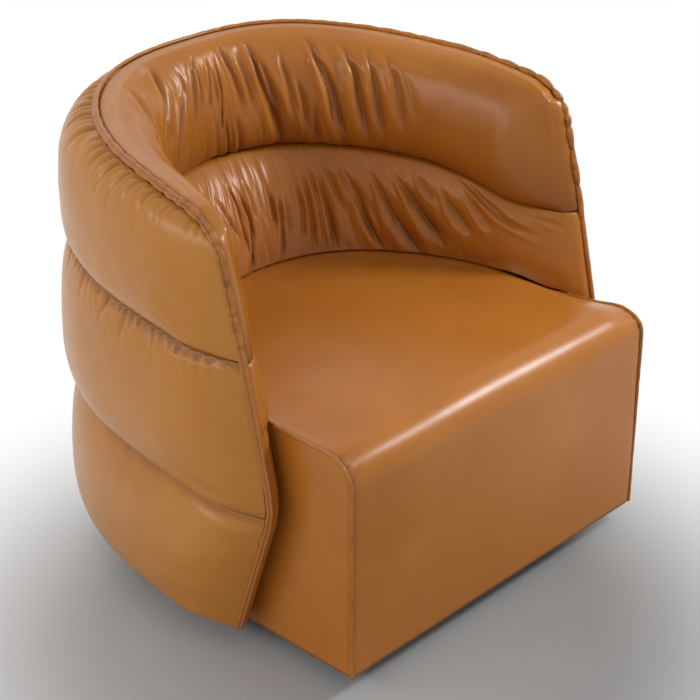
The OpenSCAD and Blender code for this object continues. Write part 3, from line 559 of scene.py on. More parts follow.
# Air pressure under the leather between its pinned seams. loose is 1 where a point may move.
def puff(piece, loose, pressure):
    before = readPoints(piece)
    group = piece.vertex_groups.new(name="pinned")
    for value in np.unique(np.round(1 - loose, 2)):
        index = np.nonzero(np.abs(1 - loose - value) < 0.0051)[0].tolist()
        group.add(index, float(value), "REPLACE")
    modifier = piece.modifiers.new("Cloth", "CLOTH")
    for name, value in puffing["settings"].items():
        setattr(modifier.settings, name, value)
    modifier.settings.uniform_pressure_force = pressure
    modifier.settings.effector_weights.gravity = 0
    modifier.collision_settings.use_collision = False
    modifier.point_cache.frame_start = 1
    modifier.point_cache.frame_end = puffing["frames"]
    for number in range(puffing["frames"]):
        scene.frame_set(number + 1)
    applyModifier(piece, modifier)
    scene.frame_set(1)
    move = readPoints(piece) - before
    far = np.linalg.norm(move, axis=1, keepdims=True)
    move *= np.minimum(1, puffing["cap"] / 1000 / np.maximum(far, 1e-9))
    writePoints(piece, before + move * loose[:, None])
    piece.vertex_groups.clear()
    print("  puffed", piece.name, "most moved", round(float(far.max()) * 1000, 1), "mm")


# A finished piece rides on the chair, and stands for the node of its name, with that node's slot
def dress(piece, look=None):
    node = "".join("_" + letter.lower() if letter.isupper() else letter for letter in piece.name)
    piece.data.materials.append(looks[look or slotLooks[slotOf[node]]])
    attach(piece, "chair")
    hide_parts(node)
    return piece


# Folds on a swept face. Every seam takes gathers, a zone may be ruched, and some folds are drawn one by one.
def foldField(s, d, length, folds, seed):
    height = np.zeros_like(s)
    for seam, spec in folds["gathers"]:
        distance = np.maximum(0, d if seam == "low" else length - d)
        height += np.interp(s, *spec["zone"]) * gathers(s, distance, spec, seed)
        seed += 7
    if "ruche" in folds:
        spec = folds["ruche"]
        strength = np.interp(s, *spec["zone"]) * np.interp(d / length, *spec["height"])
        lean = np.interp(s, *spec["lean"])
        bowed = s - lean * (d - spec["pivot"]) + 7 * softNoise(s / 60, d / 60, seed)
        for pitch, depth, sharp in spec["layers"]:
            phase = bowed / pitch + 0.8 * softNoise(bowed / 90, d / 160, seed + 3)
            fold = np.round(phase).astype(np.int64)
            size = 0.6 + 0.4 * hashed(fold, seed + 4)
            middle = 0.5 + 0.38 * hashed(fold, seed + 5)
            span = np.exp(-(((d / length) - middle) / 0.55) ** 4)
            valley = 1 - np.abs(np.sin(np.pi * phase)) ** sharp
            height += strength * depth * size * span * (0.35 - valley)
            seed += 11
    for fold in folds.get("drawn", []):
        height += drawnFold(s, d, *fold)
    height += softNoise(s / 95, d / 75, seed + 20) + 0.35 * softNoise(s / 38, d / 34, seed + 21)
    return height * (1 - np.exp(-np.maximum(0, d) / 3)) * (1 - np.exp(-np.maximum(0, length - d) / 3))


# The rolls' leather turns round the arm's front to the welt: x, and distance behind the front
wrap = {
    "line": [(376.6, 6.0), (375.6, 2.4), (372.8, 0.5), (368.6, 0.0), (363.0, 0.6), (358.4, 3.4),
             (353.8, 7.7), (349.2, 12.3)],
    "step": 2.6, "passes": 10,
}
wrapLine, wrapRun = smoothRows(wrap["line"], wrap["step"])


# Rings for the wrap, from the welt inwards. share is 1 on the face and 0 at the back of the pad.
def wrapRings(h, share):
    start = armFront(h) + barrel["facing"] + barrel["gap"]
    ahead = np.outer(barrel["facing"] + barrel["gap"] - wrapLine[:-1, 1], share)
    return grid(wrapLine[:-1, :1], start - ahead, h)


def addWraps(rings, share):
    left = wrapRings(rings[0, :, 2], share) * np.array([-1, 1, 1])
    right = wrapRings(rings[-1, :, 2], share)[::-1]
    rings = np.concatenate([left, rings, right])
    place = np.arange(len(rings))
    place = np.minimum(place, place[::-1])
    blend = (eased((place - 3) / 5) * eased((20 - place) / 8))[:, None, None]
    for again in range(wrap["passes"]):
        rings += (smoothed(rings) - rings) * blend
    return rings


def addWrapRun(along):
    more = wrapRun[-1] - wrapRun[:-1]
    return np.concatenate([along[0] - more, along, (along[-1] + more)[::-1]])


# A padded form swept round the horseshoe: seen is the grid of its face, hidden that of its back. It is
# puffed first, then subdivided, and the folds are pressed into the finer mesh.
def sweptPad(name, seen, hidden, along, up, folds, pressure, seed):
    length = up[-1]
    rings = np.concatenate([seen, hidden], 1)
    piece = makeMesh(name, rings)
    face = np.zeros(rings.shape[:2])
    face[:, :len(up)] = 1
    if pressure:
        loose = 0 * face
        fromEnd = np.minimum(along - along[0], along[-1] - along)
        loose[:, :len(up)] = clamp(np.minimum(up, length - up) / 10) * clamp(fromEnd / 30)[:, None]
        puff(piece, loose.reshape(-1), pressure)
    height = np.concatenate([up, np.full(hidden.shape[1], length)])
    values = {"along": along[:, None] + 0 * face, "up": height + 0 * face, "face": face}
    for label in values:
        storeValues(piece, label, values[label])
    subdivide(piece)
    s, d, face = (readValues(piece, label) for label in values)
    face = clamp(face * 2 - 1)
    fold = foldField(s, d, length, folds, seed) * face
    fold *= 1 - np.exp(-np.minimum(s - along[0], along[-1] - s) / 14)
    normal = np.zeros(len(s) * 3, np.float32)
    piece.data.vertex_normals.foreach_get("vector", normal)
    writePoints(piece, readPoints(piece) + normal.reshape(-1, 3) * fold[:, None] / 1000)
    for label in values:
        piece.data.attributes.remove(piece.data.attributes[label])
    # Painted shade: the fold attribute darkens a face in its valleys, near its lower seam (shade, shadeReach)
    # and just under its upper seam (under).
    tone = fold / folds["tone"] - folds["shade"] * np.exp(-d / folds["shadeReach"])
    tone -= folds.get("under", 0) * np.exp(-((length - d) / 15) ** 2)
    storeValues(piece, "fold", np.clip(tone, -1, 1) * face)
    piece.data.update()
    return piece


# Outside channels

channels = {
    "side": 29.0, "back": 48.0, "swell": 16.0, "plump": 10.0, "taper": 90.0, "step": 5.0, "pressure": 3.0,
    "corner": 8.5, "cornerAt": 300.0, "cornerWidth": 150.0,
    "seamRise": ([0, 250, 300, 350, 420, 470, 560, 640, 700, 746], [25, 22, 19, 14, 8, 3, 0, -3, -7, -11]),
    "middleRows": [[1, 0, 0], [1, 0.7, 0.05], [1, 0.97, 0.16], [1, 1, 0.34], [1, 0.92, 0.56],
                   [1, 0.7, 0.77], [1, 0.35, 0.92], [1, 0, 1]],
    "hemRows": [[0.5, 0, 0], [0.92, 0.25, 0.02], [1, 0.62, 0.08], [1, 0.92, 0.22], [1, 1, 0.42],
                [1, 0.92, 0.62], [1, 0.6, 0.82], [1, 0, 1]],
    "rimRows": [[1, 0, 0], [1, 0.7, 0.05], [1, 0.97, 0.15], [1, 1, 0.36], [1, 0.9, 0.57],
                [1, 0.55, 0.76], [0.78, 0.35, 0.9], [0.42, 0.15, 0.98], [0, 0, 1]],
}


# The seams between the channels rise a little towards the back, and dip at the arms' fronts
def seamAt(height, along):
    return height + np.interp(np.abs(along), *channels["seamRise"])


def channelGrid(shares, low, high, q, side, along, swell=0):
    inward, puffed, climb = shares.T
    h = low + (high - low) * climb
    out = np.exp(-((np.abs(along) - channels["cornerAt"]) / channels["cornerWidth"]) ** 2)
    out = channels["corner"] * out[:, None] * inward + swell * puffed
    sideDepth = inward * channels["side"] + out
    backDepth = inward * channels["back"] + out
    start = armFront(h) + barrel["welt"] + 1 + barrel["gap"]
    full = fullness(fromFront(q[:, None], start), channels["taper"])
    edge = np.minimum(sideDepth, (2 * barrel["welt"] + barrel["gap"]) / 2)
    half = barrel["frame"] + barrel["gap"] + edge + (sideDepth - edge) * full
    x, y = planPoint(half, barrel["depth"] + barrel["gap"] + backDepth, barrel["power"], q[:, None], start)
    return grid(x * side[:, None], y, h)


def makeChannel(name, rows, low, high, plump, folds, seed):
    q, side, along = stations(channels["step"])
    shares, up = smoothRows(rows, channels["step"], [40, 16, 236])
    inner = np.array([[0, 0, share] for share in (1, 0.75, 0.5, 0.25, 0)])
    if rows[-1][0] == 0:
        inner = inner[1:]
    low = low(along)[:, None] + barrel["gap"] / 2
    high = high(q, along)[:, None] - barrel["gap"] / 2
    seen = channelGrid(shares, low, high, q, side, along, channels["swell"] + plump)
    hidden = channelGrid(inner, low, high, q, side, along)
    dress(sweptPad(name, seen, hidden, along, up, folds, channels["pressure"], seed), "outerHide")


# In these tables shade and under set the painted shade near a face's lower and upper seams, and tone is the
# fold depth in mm that gives the darkest painted shade.
rimFolds = {
    "gathers": [
        ("high", {"pitch": 18.0, "reach": 38.0, "depth": 8.0, "lean": 0.1, "sharp": 1.6, "fade": 2.4,
            "zone": ([-735, -700, -590, -520, -200, 0, 200, 520, 590, 735],
                     [0.2, 0.3, 0.6, 1.0, 1.0, 0.6, 1.0, 1.0, 0.6, 0.2])}),
        ("high", {"pitch": 43.0, "reach": 38.0, "depth": 2.4, "lean": 0.2, "sharp": 1.8,
            "zone": ([-735, -600, -520, -200, 0, 200, 520, 600, 735],
                     [0.0, 0.3, 1.0, 1.0, 0.5, 1.0, 1.0, 0.3, 0.0])}),
        ("low", {"pitch": 23.0, "reach": 24.0, "depth": 1.4, "zone": ([-746, 746], [0.5, 0.5])}),
    ],
    "tone": 8.0, "shade": 0.3, "shadeReach": 6.0,
}
middleFolds = {
    "gathers": [
        ("high", {"pitch": 19.0, "reach": 27.0, "depth": 8.0, "lean": 0.1, "sharp": 0.8, "fade": 2.6,
            "zone": ([-746, -660, -620, -520, -420, 0, 420, 520, 620, 746],
                     [0.4, 0.8, 1.2, 1.1, 0.6, 0.5, 0.6, 1.1, 1.2, 0.4])}),
        ("high", {"pitch": 31.0, "reach": 34.0, "depth": 1.8, "lean": 0.5,
            "zone": ([-746, 746], [0.8, 0.8])}),
    ],
    "drawn": [
        (8, -3.5, 0.6, (-640, 221), (-738, 229)), (8, -3.5, 0.6, (640, 221), (738, 229)),
    ],
    "tone": 5.5, "shade": 0.3, "shadeReach": 6.0, "under": 0.9,
}
hemFolds = {
    "gathers": [
        ("high", {"pitch": 19.0, "reach": 15.0, "depth": 1.6, "lean": 0.2,
            "zone": ([-746, 746], [0.8, 0.8])}),
        ("high", {"pitch": 61.0, "reach": 38.0, "depth": 1.6, "lean": 0.4,
            "zone": ([-746, 746], [0.7, 0.7])}),
    ],
    "drawn": [
        (8, -3.0, 0.6, (-655, 231), (-732, 223)), (8, -3.0, 0.6, (655, 231), (732, 223)),
    ],
    "tone": 6.0, "shade": 0.0, "shadeReach": 6.0, "under": 0.6,
}
makeChannel("channelUpper", channels["rimRows"], lambda along: seamAt(barrel["seamHigh"], along),
    lambda q, along: softRim(depthAt(q, barrel["topSetback"])) - 2 * barrel["welt"] + 1, 0, rimFolds, 11)
makeChannel("channelMiddle", channels["middleRows"], lambda along: seamAt(barrel["seamLow"], along),
    lambda q, along: seamAt(barrel["seamHigh"], along), channels["plump"], middleFolds, 211)
makeChannel("channelLower", channels["hemRows"], lambda along: barrel["hem"] + 0 * along,
    lambda q, along: seamAt(barrel["seamLow"], along), channels["plump"], hemFolds, 411)
print("channels made")

# Inside rolls

# By the right arm the seat is pressed down: mm by depth from the front, and by the place along the roll
sag = {
    "seat": ([0, 25, 60, 90, 150, 220, 300], [0, 11, 15, 21, 28, 26, 0]),
    "roll": ([640, 666, 686, 706, 726, 738, 746], [0, 5, 12, 20, 25, 34, 46]),
    "from": 268.0, "over": 72.0, "low": 240.0, "deep": 46.0,
}


def sagged(points):
    x, y, z = (points[..., k] for k in range(3))
    lowered = points.copy()
    share = eased((x - sag["from"]) / sag["over"]) * eased((z - sag["low"]) / 100)
    lowered[..., 2] -= np.interp(y, *sag["seat"]) * share
    return lowered


rolls = {
    "seatSide": 61.0, "seatBack": 136.0, "crease": 34.0, "swell": 20.0, "lowSwell": 12.0,
    "taperLow": 150.0, "taperHigh": 130.0, "frameDrop": 30.0, "step": 4.6, "pressure": 2.5,
    "corner": 26.0, "tuckIn": 0.06, "over": 1.5,
    "lowRows": [[0, 0], [0, 0.14], [0.5, 0.3], [0.9, 0.5], [1, 0.7], [0.75, 0.88], [0, 1]],
    "highRows": [[1, -0.2, 0], [1, 0.65, 0.05], [1, 0.97, 0.17], [1, 1, 0.34], [1, 0.82, 0.52],
                 [1, 0.4, 0.7], [0.85, 0.1, 0.84], [0.5, 0, 0.95], [0, 0, 1]],
}


def rollGrid(q, side, sideDepth, backDepth, h):
    start = armFront(h) + barrel["facing"] + barrel["gap"]
    v = clamp((h - barrel["seat"]) / (barrel["creaseFront"] - barrel["seat"]))
    reach = rolls["taperLow"] + (rolls["taperHigh"] - rolls["taperLow"]) * v
    full = fullness(fromFront(q[:, None], start), reach)
    share = clamp(sideDepth / rolls["crease"])
    power = barrel["power"] + (barrel["rollPower"] - barrel["power"]) * share
    half = barrel["lining"] - barrel["gap"] - np.maximum(0, sideDepth) * full - np.minimum(0, sideDepth)
    back = barrel["depth"] - barrel["wall"] - barrel["gap"] - backDepth
    x, y = planPoint(half, back, power, q[:, None], start)
    return grid(x * side[:, None], y, h)


# The leather is drawn in a little at a seam, up to a few millimetres from it
def drawnIn(distance):
    return 1 - 0.35 * np.exp(-distance / 3.5)


lowRollFolds = {
    "gathers": [
        ("high", {"pitch": 17.0, "reach": 20.0, "depth": 2.0,
            "zone": ([-746, -500, 560, 640, 746], [0.2, 1.0, 1.0, 0.4, 0.3])}),
        ("low", {"pitch": 33.0, "reach": 22.0, "depth": 2.2,
            "zone": ([-746, -500, 520, 640, 746], [0.2, 0.9, 0.9, 0.3, 0.0])}),
    ],
    "ruche": {
        "zone": ([-640, -470, -300, -120, -40, 420, 520], [0.0, 0.8, 1.0, 0.8, 0.5, 0.4, 0.0]),
        "height": ([0.0, 0.06, 0.4, 0.85, 0.95, 1.0], [0.5, 0.9, 1.0, 0.8, 0.4, 0.1]),
        "lean": ([-450, -150, 0, 230, 300, 370, 410, 520, 600],
                 [0.6, 0.6, 0.5, -0.05, -0.4, -0.56, -0.67, -1.6, -2.2]),
        "pivot": 100.0,
        "layers": [(58.0, 5.5, 1.3), (37.0, 5.0, 0.8), (18.0, 2.2, 0.9)],
    },
    "drawn": [  # width, depth, share of the width at the start, then the places along and up the face
        (3.5, 5.0, 0.6, (-64, 106), (-54, 78), (-44, 54)),
        (3.5, 5.5, 0.6, (-14, 120), (-3, 93), (-14, 64), (-22, 35)),
        (5.0, 9.5, 0.5, (25, 116), (30, 83), (24, 54), (-22, 4)),
        (3.0, 4.0, 0.6, (56, 118), (58, 96), (50, 70)), (3.2, 5.0, 0.6, (110, 110), (110, 79), (98, 46)),
        (3.2, 7.0, 0.6, (130, 90), (120, 54), (104, 18), (94, 0)),
        (3.2, 4.5, 0.6, (148, 90), (144, 70), (134, 40)),
        (3.4, 5.0, 0.6, (177, 98), (177, 67), (162, 30)),
        (3.4, 6.5, 0.6, (200, 112), (196, 72), (186, 32), (180, 8)),
        (3.6, 6.5, 0.5, (216, 132), (218, 89), (211, 39), (203, 4)),
        (4.2, 9.0, 0.5, (232, 112), (231, 64), (229, 25), (226, 2)),
        (3.6, 5.5, 0.5, (276, 134), (281, 110), (294, 76)),
        (5.0, 9.0, 0.3, (283, 126), (302, 86), (307, 43), (327, 2)),
        (7.5, 9.5, 0.25, (334, 126), (353, 93), (374, 47), (409, 2)),
        (8.5, 9.5, 0.25, (386, 121), (412, 94), (440, 60), (470, 24)),
        (8.0, 7.0, 0.25, (481, 119), (503, 95), (545, 64)),
        (6.5, 5.0, 0.3, (536, 124), (569, 107), (600, 86)),
        (3.8, 6.5, 0.4, (522, 148), (576, 128), (620, 116), (690, 101)),
        (3.0, 4.0, 0.5, (538, 146), (597, 129), (634, 124)), (3.0, 2.5, 0.5, (690, 136), (732, 127)),
        (3.0, 4.0, 0.6, (250, 130), (256, 100), (262, 70)),
        (4.0, 4.0, 0.4, (430, 130), (446, 112), (462, 96)),
    ],
    "tone": 11.0, "shade": 0.5, "shadeReach": 36.0,
}
highRollFolds = {
    "gathers": [
        ("low", {"pitch": 16.0, "reach": 20.0, "depth": 2.2,
            "zone": ([-746, -500, 430, 520, 746], [0.2, 1.0, 1.0, 0.3, 0.1])}),
        ("high", {"pitch": 10.0, "reach": 9.0, "depth": 1.3,
            "zone": ([-746, -600, 600, 746], [0.8, 0.5, 0.5, 0.8])}),
    ],
    "ruche": {
        "zone": ([-640, -500, -420, -300, -220, 330, 420], [0.0, 0.6, 1.0, 0.7, 0.5, 0.5, 0.0]),
        "height": ([0.0, 0.05, 0.2, 0.6, 0.78, 0.88, 1.0], [0.3, 0.8, 1.0, 1.0, 0.7, 0.15, 0.0]),
        "lean": ([-430, -250, -170, -80, 50, 120, 250, 360, 420],
                 [1.8, 1.5, 0.8, 0.1, -0.2, -0.5, -0.45, -0.6, -0.8]),
        "pivot": 110.0,
        "layers": [(54.0, 5.5, 1.3), (33.0, 5.0, 0.8), (16.0, 2.0, 0.9)],
    },
    "drawn": [
        (5.0, 6.5, 0.5, (-233, 174), (-274, 147), (-310, 128), (-366, 118)),
        (5.5, 9.0, 0.4, (-139, 172), (-163, 153), (-191, 122), (-206, 96)),
        (4.0, 4.5, 0.6, (-192, 104), (-214, 75), (-226, 44)),
        (3.8, 5.5, 0.5, (-99, 152), (-110, 124), (-144, 95), (-176, 58)),
        (3.6, 5.0, 0.5, (-39, 160), (-64, 138), (-82, 110), (-94, 76)),
        (3.0, 4.5, 0.5, (-50, 146), (-55, 120), (-67, 94)),
        (3.2, 4.5, 0.5, (-8, 148), (-22, 120), (-40, 88)),
        (3.8, 6.0, 0.5, (18, 150), (20, 117), (15, 85), (-5, 50)),
        (4.0, 6.0, 0.4, (32, 168), (56, 141), (71, 112), (80, 70)),
        (3.4, 4.5, 0.5, (84, 150), (98, 116), (106, 80)),
        (5.4, 11.0, 0.35, (97, 164), (124, 139), (134, 107), (156, 64), (176, 20)),
        (2.8, 5.0, 0.6, (134, 142), (145, 120), (156, 94), (166, 70)),
        (3.6, 4.5, 0.6, (22, 66), (40, 14)), (3.6, 4.5, 0.6, (60, 64), (76, 14)),
        (3.8, 4.5, 0.5, (179, 145), (189, 104), (197, 64)),
        (3.6, 5.0, 0.5, (206, 110), (219, 75), (229, 38)),
        (3.8, 8.5, 0.45, (219, 164), (243, 143), (261, 106), (273, 71), (277, 40)),
        (4.2, 8.5, 0.4, (253, 138), (273, 101), (285, 65), (300, 28)),
        (4.8, 8.0, 0.4, (286, 158), (314, 126), (323, 91), (342, 38)),
        (4.6, 7.0, 0.4, (333, 156), (349, 123), (357, 95), (371, 44)),
        (5.0, 6.0, 0.4, (369, 149), (392, 121), (403, 88), (412, 56)),
        (3.4, 4.5, 0.6, (240, 76), (245, 30)), (5.0, 2.2, 0.4, (404, 136), (420, 108), (432, 76)),
    ],
    "tone": 11.0, "shade": 0.9, "shadeReach": 80.0,
}


def makeLowRoll():
    q, side, along = stations(rolls["step"])
    rows, up = smoothRows(rolls["lowRows"], rolls["step"], [12, 150])
    z0 = (barrel["seat"] + barrel["gap"] - np.interp(along, *sag["roll"]))[:, None]
    z1 = (creaseHeight(depthAt(q, barrel["seamSetback"]), along) - barrel["gap"])[:, None]
    swell, climb = rows.T[:, None]
    swell = rolls["lowSwell"] * swell
    sideDepth = rolls["seatSide"] + (rolls["crease"] - rolls["seatSide"]) * climb + swell
    backDepth = rolls["seatBack"] + (rolls["crease"] - rolls["seatBack"]) * climb + swell
    seen = rollGrid(q, side, sideDepth, backDepth, z0 + (z1 - z0) * climb)
    back = [(0, 1), (0, 0.66), (0, 0.33), (0, 0), (0.33, 0), (0.66, 0)]  # shares of the depth and the height
    hidden = [rollGrid(q, side, share * sideDepth[:, :1], share * backDepth[:, :1], z0 + (z1 - z0) * v)
        for share, v in back]
    seen = addWraps(seen, drawnIn(up[-1] - up))
    hidden = addWraps(np.concatenate(hidden, 1), [share for share, v in back])
    along = addWrapRun(along)
    dress(sweptPad("rollLower", seen, hidden, along, up, lowRollFolds, rolls["pressure"], 611))


# The upper roll turns over the rim and down to the frame. Its form is full as drawn, so it isn't puffed.
def makeHighRoll():
    q, side, along = stations(rolls["step"])
    rows, up = smoothRows(rolls["highRows"], rolls["step"], [34, 20, 150])
    over = barrel["gap"] - barrel["wall"] - rolls["over"]
    y = depthAt(q, barrel["topSetback"] + barrel["facing"])
    z1 = (softRim(y) + 2)[:, None]
    z0 = (creaseHeight(depthAt(q, barrel["seamSetback"]), along) + barrel["gap"])[:, None]
    frameTop = (rimHeight(y) - rolls["frameDrop"] + barrel["gap"])[:, None]
    depth = (rows[:, 0] * rolls["crease"] + rows[:, 1] * rolls["swell"])[None, :]
    seen = rollGrid(q, side, depth, depth, z0 + (z1 - z0) * rows[:, 2])
    back = [(0.35 * over, z1), (0.7 * over, z1 - 0.4), (over, z1 - 2), (over, frameTop), (0, frameTop)]
    back += [(0, z0 + (frameTop - z0) * share) for share in (0.66, 0.33, 0.0)]
    hidden = np.concatenate([rollGrid(q, side, depth, depth, h) for depth, h in back], 1)
    h = seen[0, :, 2]
    fromTop = clamp((h[-1] - h) / rolls["corner"])
    ahead = np.sqrt(1 - (1 - fromTop) ** 2) * drawnIn(up)
    ahead[-1] = -rolls["tuckIn"]
    seen = addWraps(seen, ahead)
    hidden = addWraps(hidden, -rolls["tuckIn"])
    along = addWrapRun(along)
    dress(sweptPad("rollUpper", seen, hidden, along, up, highRollFolds, 0, 811))


makeLowRoll()
makeHighRoll()
print("rolls made")


# Rings of a section along a path, with the section's second direction turned towards normal
def sweepSection(path, section, normal, scale):
    forward = np.gradient(path, axis=0)
    forward /= np.linalg.norm(forward, axis=1, keepdims=True)
    normal = normal - forward * (normal * forward).sum(1, keepdims=True)
    normal /= np.linalg.norm(normal, axis=1, keepdims=True)
    sideways = np.cross(forward, normal)
    section = section * scale[:, None, None]
    return path[:, None, :] + sideways[:, None, :] * section[..., :1] + normal[:, None, :] * section[..., 1:]


# Double welt along the rim and down both arm fronts

welt = {
    "step": 2.2, "ridge": 3.3, "apart": 3.2, "ruffle": 1.8,
    "zone": ([0, 440, 520, 700, 780, 960, 1100, 1700], [0.1, 0.2, 1.0, 1.1, 0.8, 0.55, 0.3, 0.2]),
    "girth": ([0, 0.13, 0.2, 0.35, 0.5, 0.7, 1.0], [0.95, 1.1, 1.25, 1.15, 0.9, 0.75, 0.8]),
}


def doubleSection():
    points = []
    for centre, first, last in ((welt["apart"], -100, 150), (-welt["apart"], 30, 280)):
        for angle in np.linspace(math.radians(first), math.radians(last), 9):
            points.append((centre + welt["ridge"] * math.cos(angle), welt["ridge"] * math.sin(angle)))
    return np.array(points)


def weltPath():
    heights = np.concatenate([np.linspace(46, 251, 40), np.linspace(253, 311, 14), np.linspace(314, 655, 68)])
    out = barrel["frame"] + barrel["welt"] - 1
    high = clamp((heights - 400) / 150)
    climb = grid(out, armFront(heights) + 1 + 2 * high, heights)
    q = np.linspace(0.012, 1, 500)
    x, y = planPoint(out, barrel["depth"] + barrel["welt"], barrel["power"], q, barrel["topSetback"])
    right = np.concatenate([climb, grid(x, y, softRim(y) - 1)])
    return np.concatenate([right, right[-2::-1] * np.array([-1, 1, 1])])


def makeWelt():
    path, at = evenPath(weltPath(), welt["step"])
    for again in range(3):
        path = smoothed(path)
    total = at[-1]
    fromHem = np.minimum(at, total - at)
    outward = path - np.array([0, barrel["turn"], 0])
    outward[:, 2] = 0
    outward[:, 1] = np.maximum(outward[:, 1], 0)
    outward /= np.linalg.norm(outward, axis=1, keepdims=True)
    onRim = clamp((fromHem - 610) / 60)[:, None]
    normal = outward + onRim * np.array([0, 0, 1.0]) + (1 - onRim) * np.array([0, -0.9, 0])
    ruffle = np.interp(fromHem, *welt["zone"]) * welt["ruffle"]
    strength = ruffle / welt["ruffle"]
    wobble = softNoise(at / 9, 0, 5) + 0.6 * softNoise(at / 21, 0, 6)
    path = path + outward * (0.35 * ruffle * wobble)[:, None]
    path[:, 2] += 0.4 * ruffle * softNoise(at / 12, 0, 7)
    notch = np.abs(np.sin(np.pi * (at / 37 + 0.9 * softNoise(at / 75, 0, 8)))) ** 0.5
    size = (1 + strength * (0.6 * notch - 0.18)) * np.interp(at / total, *welt["girth"])
    rings = sweepSection(path, doubleSection(), normal, size)
    n = rings.shape[1]
    # Fold values: painted shade on the welt's two edges, in the groove between its beads and in its notches,
    # and a random tone along it.
    groove = np.zeros(rings.shape[:2])
    groove[:, [0, n - 1]] = -0.9
    groove[:, [1, n - 2, n // 2 - 1, n // 2]] = -0.3
    groove -= (strength * (0.35 * (1 - notch) + 0.15))[:, None]
    groove += 0.4 * (softNoise(at / 6, 0, 9) * strength)[:, None]
    dress(makeMesh("rimWelt", rings, groove))


makeWelt()

# Arm facings

facings = {"step": 5.0, "tuck": 6.0, "tuckDepth": 1.2, "middle": 362.0, "foot": 44.5}


def makeFacing(name, side):
    seam = barrel["seat"] - (sag["deep"] if side > 0 else 0)
    top = seam + barrel["gap"] + facings["tuck"]
    heights = np.arange(facings["foot"], seam - 3, facings["step"])
    heights = np.concatenate([heights, np.linspace(seam, top, 4)])
    tucked = clamp(heights - seam + 0.3) * facings["tuckDepth"]
    wave = 0.5 * softNoise(heights / 60, 0, 3) + 0.3 * softNoise(heights / 23, 0, 4)
    wave = wave * clamp((seam - heights) / 30)
    front = armFront(heights)[:, None]
    across, behind = wrapLine.T
    x = side * (across - tucked[:, None] * np.sign(across - facings["middle"]))
    y = front + behind - (1 - behind / barrel["facing"]) * (wave - tucked)[:, None]
    seen = grid(x, np.minimum(y, front + barrel["facing"]), heights[:, None])
    back = seen[:, ::-3].copy()
    back[..., 1] = front + barrel["facing"]
    piece = makeMesh(name, np.concatenate([seen, back[:, 1:-1]], 1))
    subdivide(piece)
    dress(piece)


makeFacing("armFacingRight", 1)
makeFacing("armFacingLeft", -1)
print("welt and facings made")

# Seat block

seat = {
    "half": 338.0, "top": 397.0, "crown": 12.0, "round": 50.0, "gap": 33.0, "leather": 2.5, "edge": 4.6,
    "foamDepth": 600.0, "panelDepth": 298.7, "piping": 3.0, "proud": 1.5, "step": 7.0, "bulge": 2.5,
    "foamLow": 249.3, "tuck": 1.8, "foamInset": 5.2, "margin": 25.0,
    "puckers": {"pitch": 12.0, "reach": 9.0, "depth": 1.1, "lean": 0.3},
    "cornerPuckers": {"pitch": 11.0, "reach": 10.0, "depth": 1.4, "lean": 0.2},
    "cornerFolds": [  # along the side seam: place on the section, lean, length and depth
        (330, 0.7, 26, 1.5), (352, 0.4, 34, 1.9), (371, 0.1, 30, 1.7), (392, -0.3, 24, 1.3),
        (301, 0.9, 18, 0.9), (415, -0.6, 18, 0.9)],
}


def crownAt(x, y):
    reach = barrel["depth"] - barrel["wall"] - rolls["seatBack"] - seat["margin"]
    k = clamp((y - barrel["turn"]) / (reach - barrel["turn"]))
    well = curveHalf(barrel["lining"] - rolls["seatSide"] - seat["margin"], k, barrel["rollPower"])
    u = np.minimum(1, np.abs(x) / np.maximum(1, well))
    return seat["crown"] * (1 - u * u) ** 2 * np.sin(np.pi * clamp(y / reach))


def insideHalf(y):
    k = np.maximum(0, (y - barrel["turn"]) / (barrel["depth"] - barrel["wall"] - barrel["turn"]))
    return curveHalf(barrel["lining"], k, barrel["power"])


# Up the front, round the waterfall edge and back over the seat
def waterfall(inset, low, step):
    r = seat["round"] - inset
    turn = seat["top"] - seat["round"]
    up = [(inset, z) for z in np.linspace(low, turn, int((turn - low) / step) + 1)[:-1]]
    arc = [(seat["round"] - r * math.cos(a), turn + r * math.sin(a))
        for a in np.linspace(0, math.pi / 2, int(1.57 * r / step) + 2)]
    back = [(y, seat["top"] - inset) for y in np.linspace(seat["round"], seat["foamDepth"],
        int((seat["foamDepth"] - seat["round"]) / step) + 1)[1:]]
    return np.array(up + arc + back)


# The waterfall's section across the seat, with the crown on its top
def seatGrid(section, u, half):
    y, z = section.T
    x = u[:, None] * half
    return grid(x, y, z + (z > seat["top"] - seat["round"]) * crownAt(x, y))


# A thin skin from its outer and inner faces, with bands of faces between them at both ends
def makeSkin(name, outer, inner, shade):
    rings = np.concatenate([outer, inner[:, ::-1]], 1)
    m, n = rings.shape[:2]
    piece = makeMesh(name, sagged(rings), np.concatenate([shade, 0 * shade], 1), ends="open")
    mesh = bmesh.new()
    mesh.from_mesh(piece.data)
    mesh.verts.ensure_lookup_table()
    for first in (0, (m - 1) * n):
        for j in range(n // 2 - 1):
            corners = [first + j, first + j + 1, first + n - 2 - j, first + n - 1 - j]
            mesh.faces.new([mesh.verts[c] for c in corners])
    bmesh.ops.recalc_face_normals(mesh, faces=mesh.faces)
    for face in mesh.faces:
        face.smooth = True
    mesh.to_mesh(piece.data)
    mesh.free()
    return piece


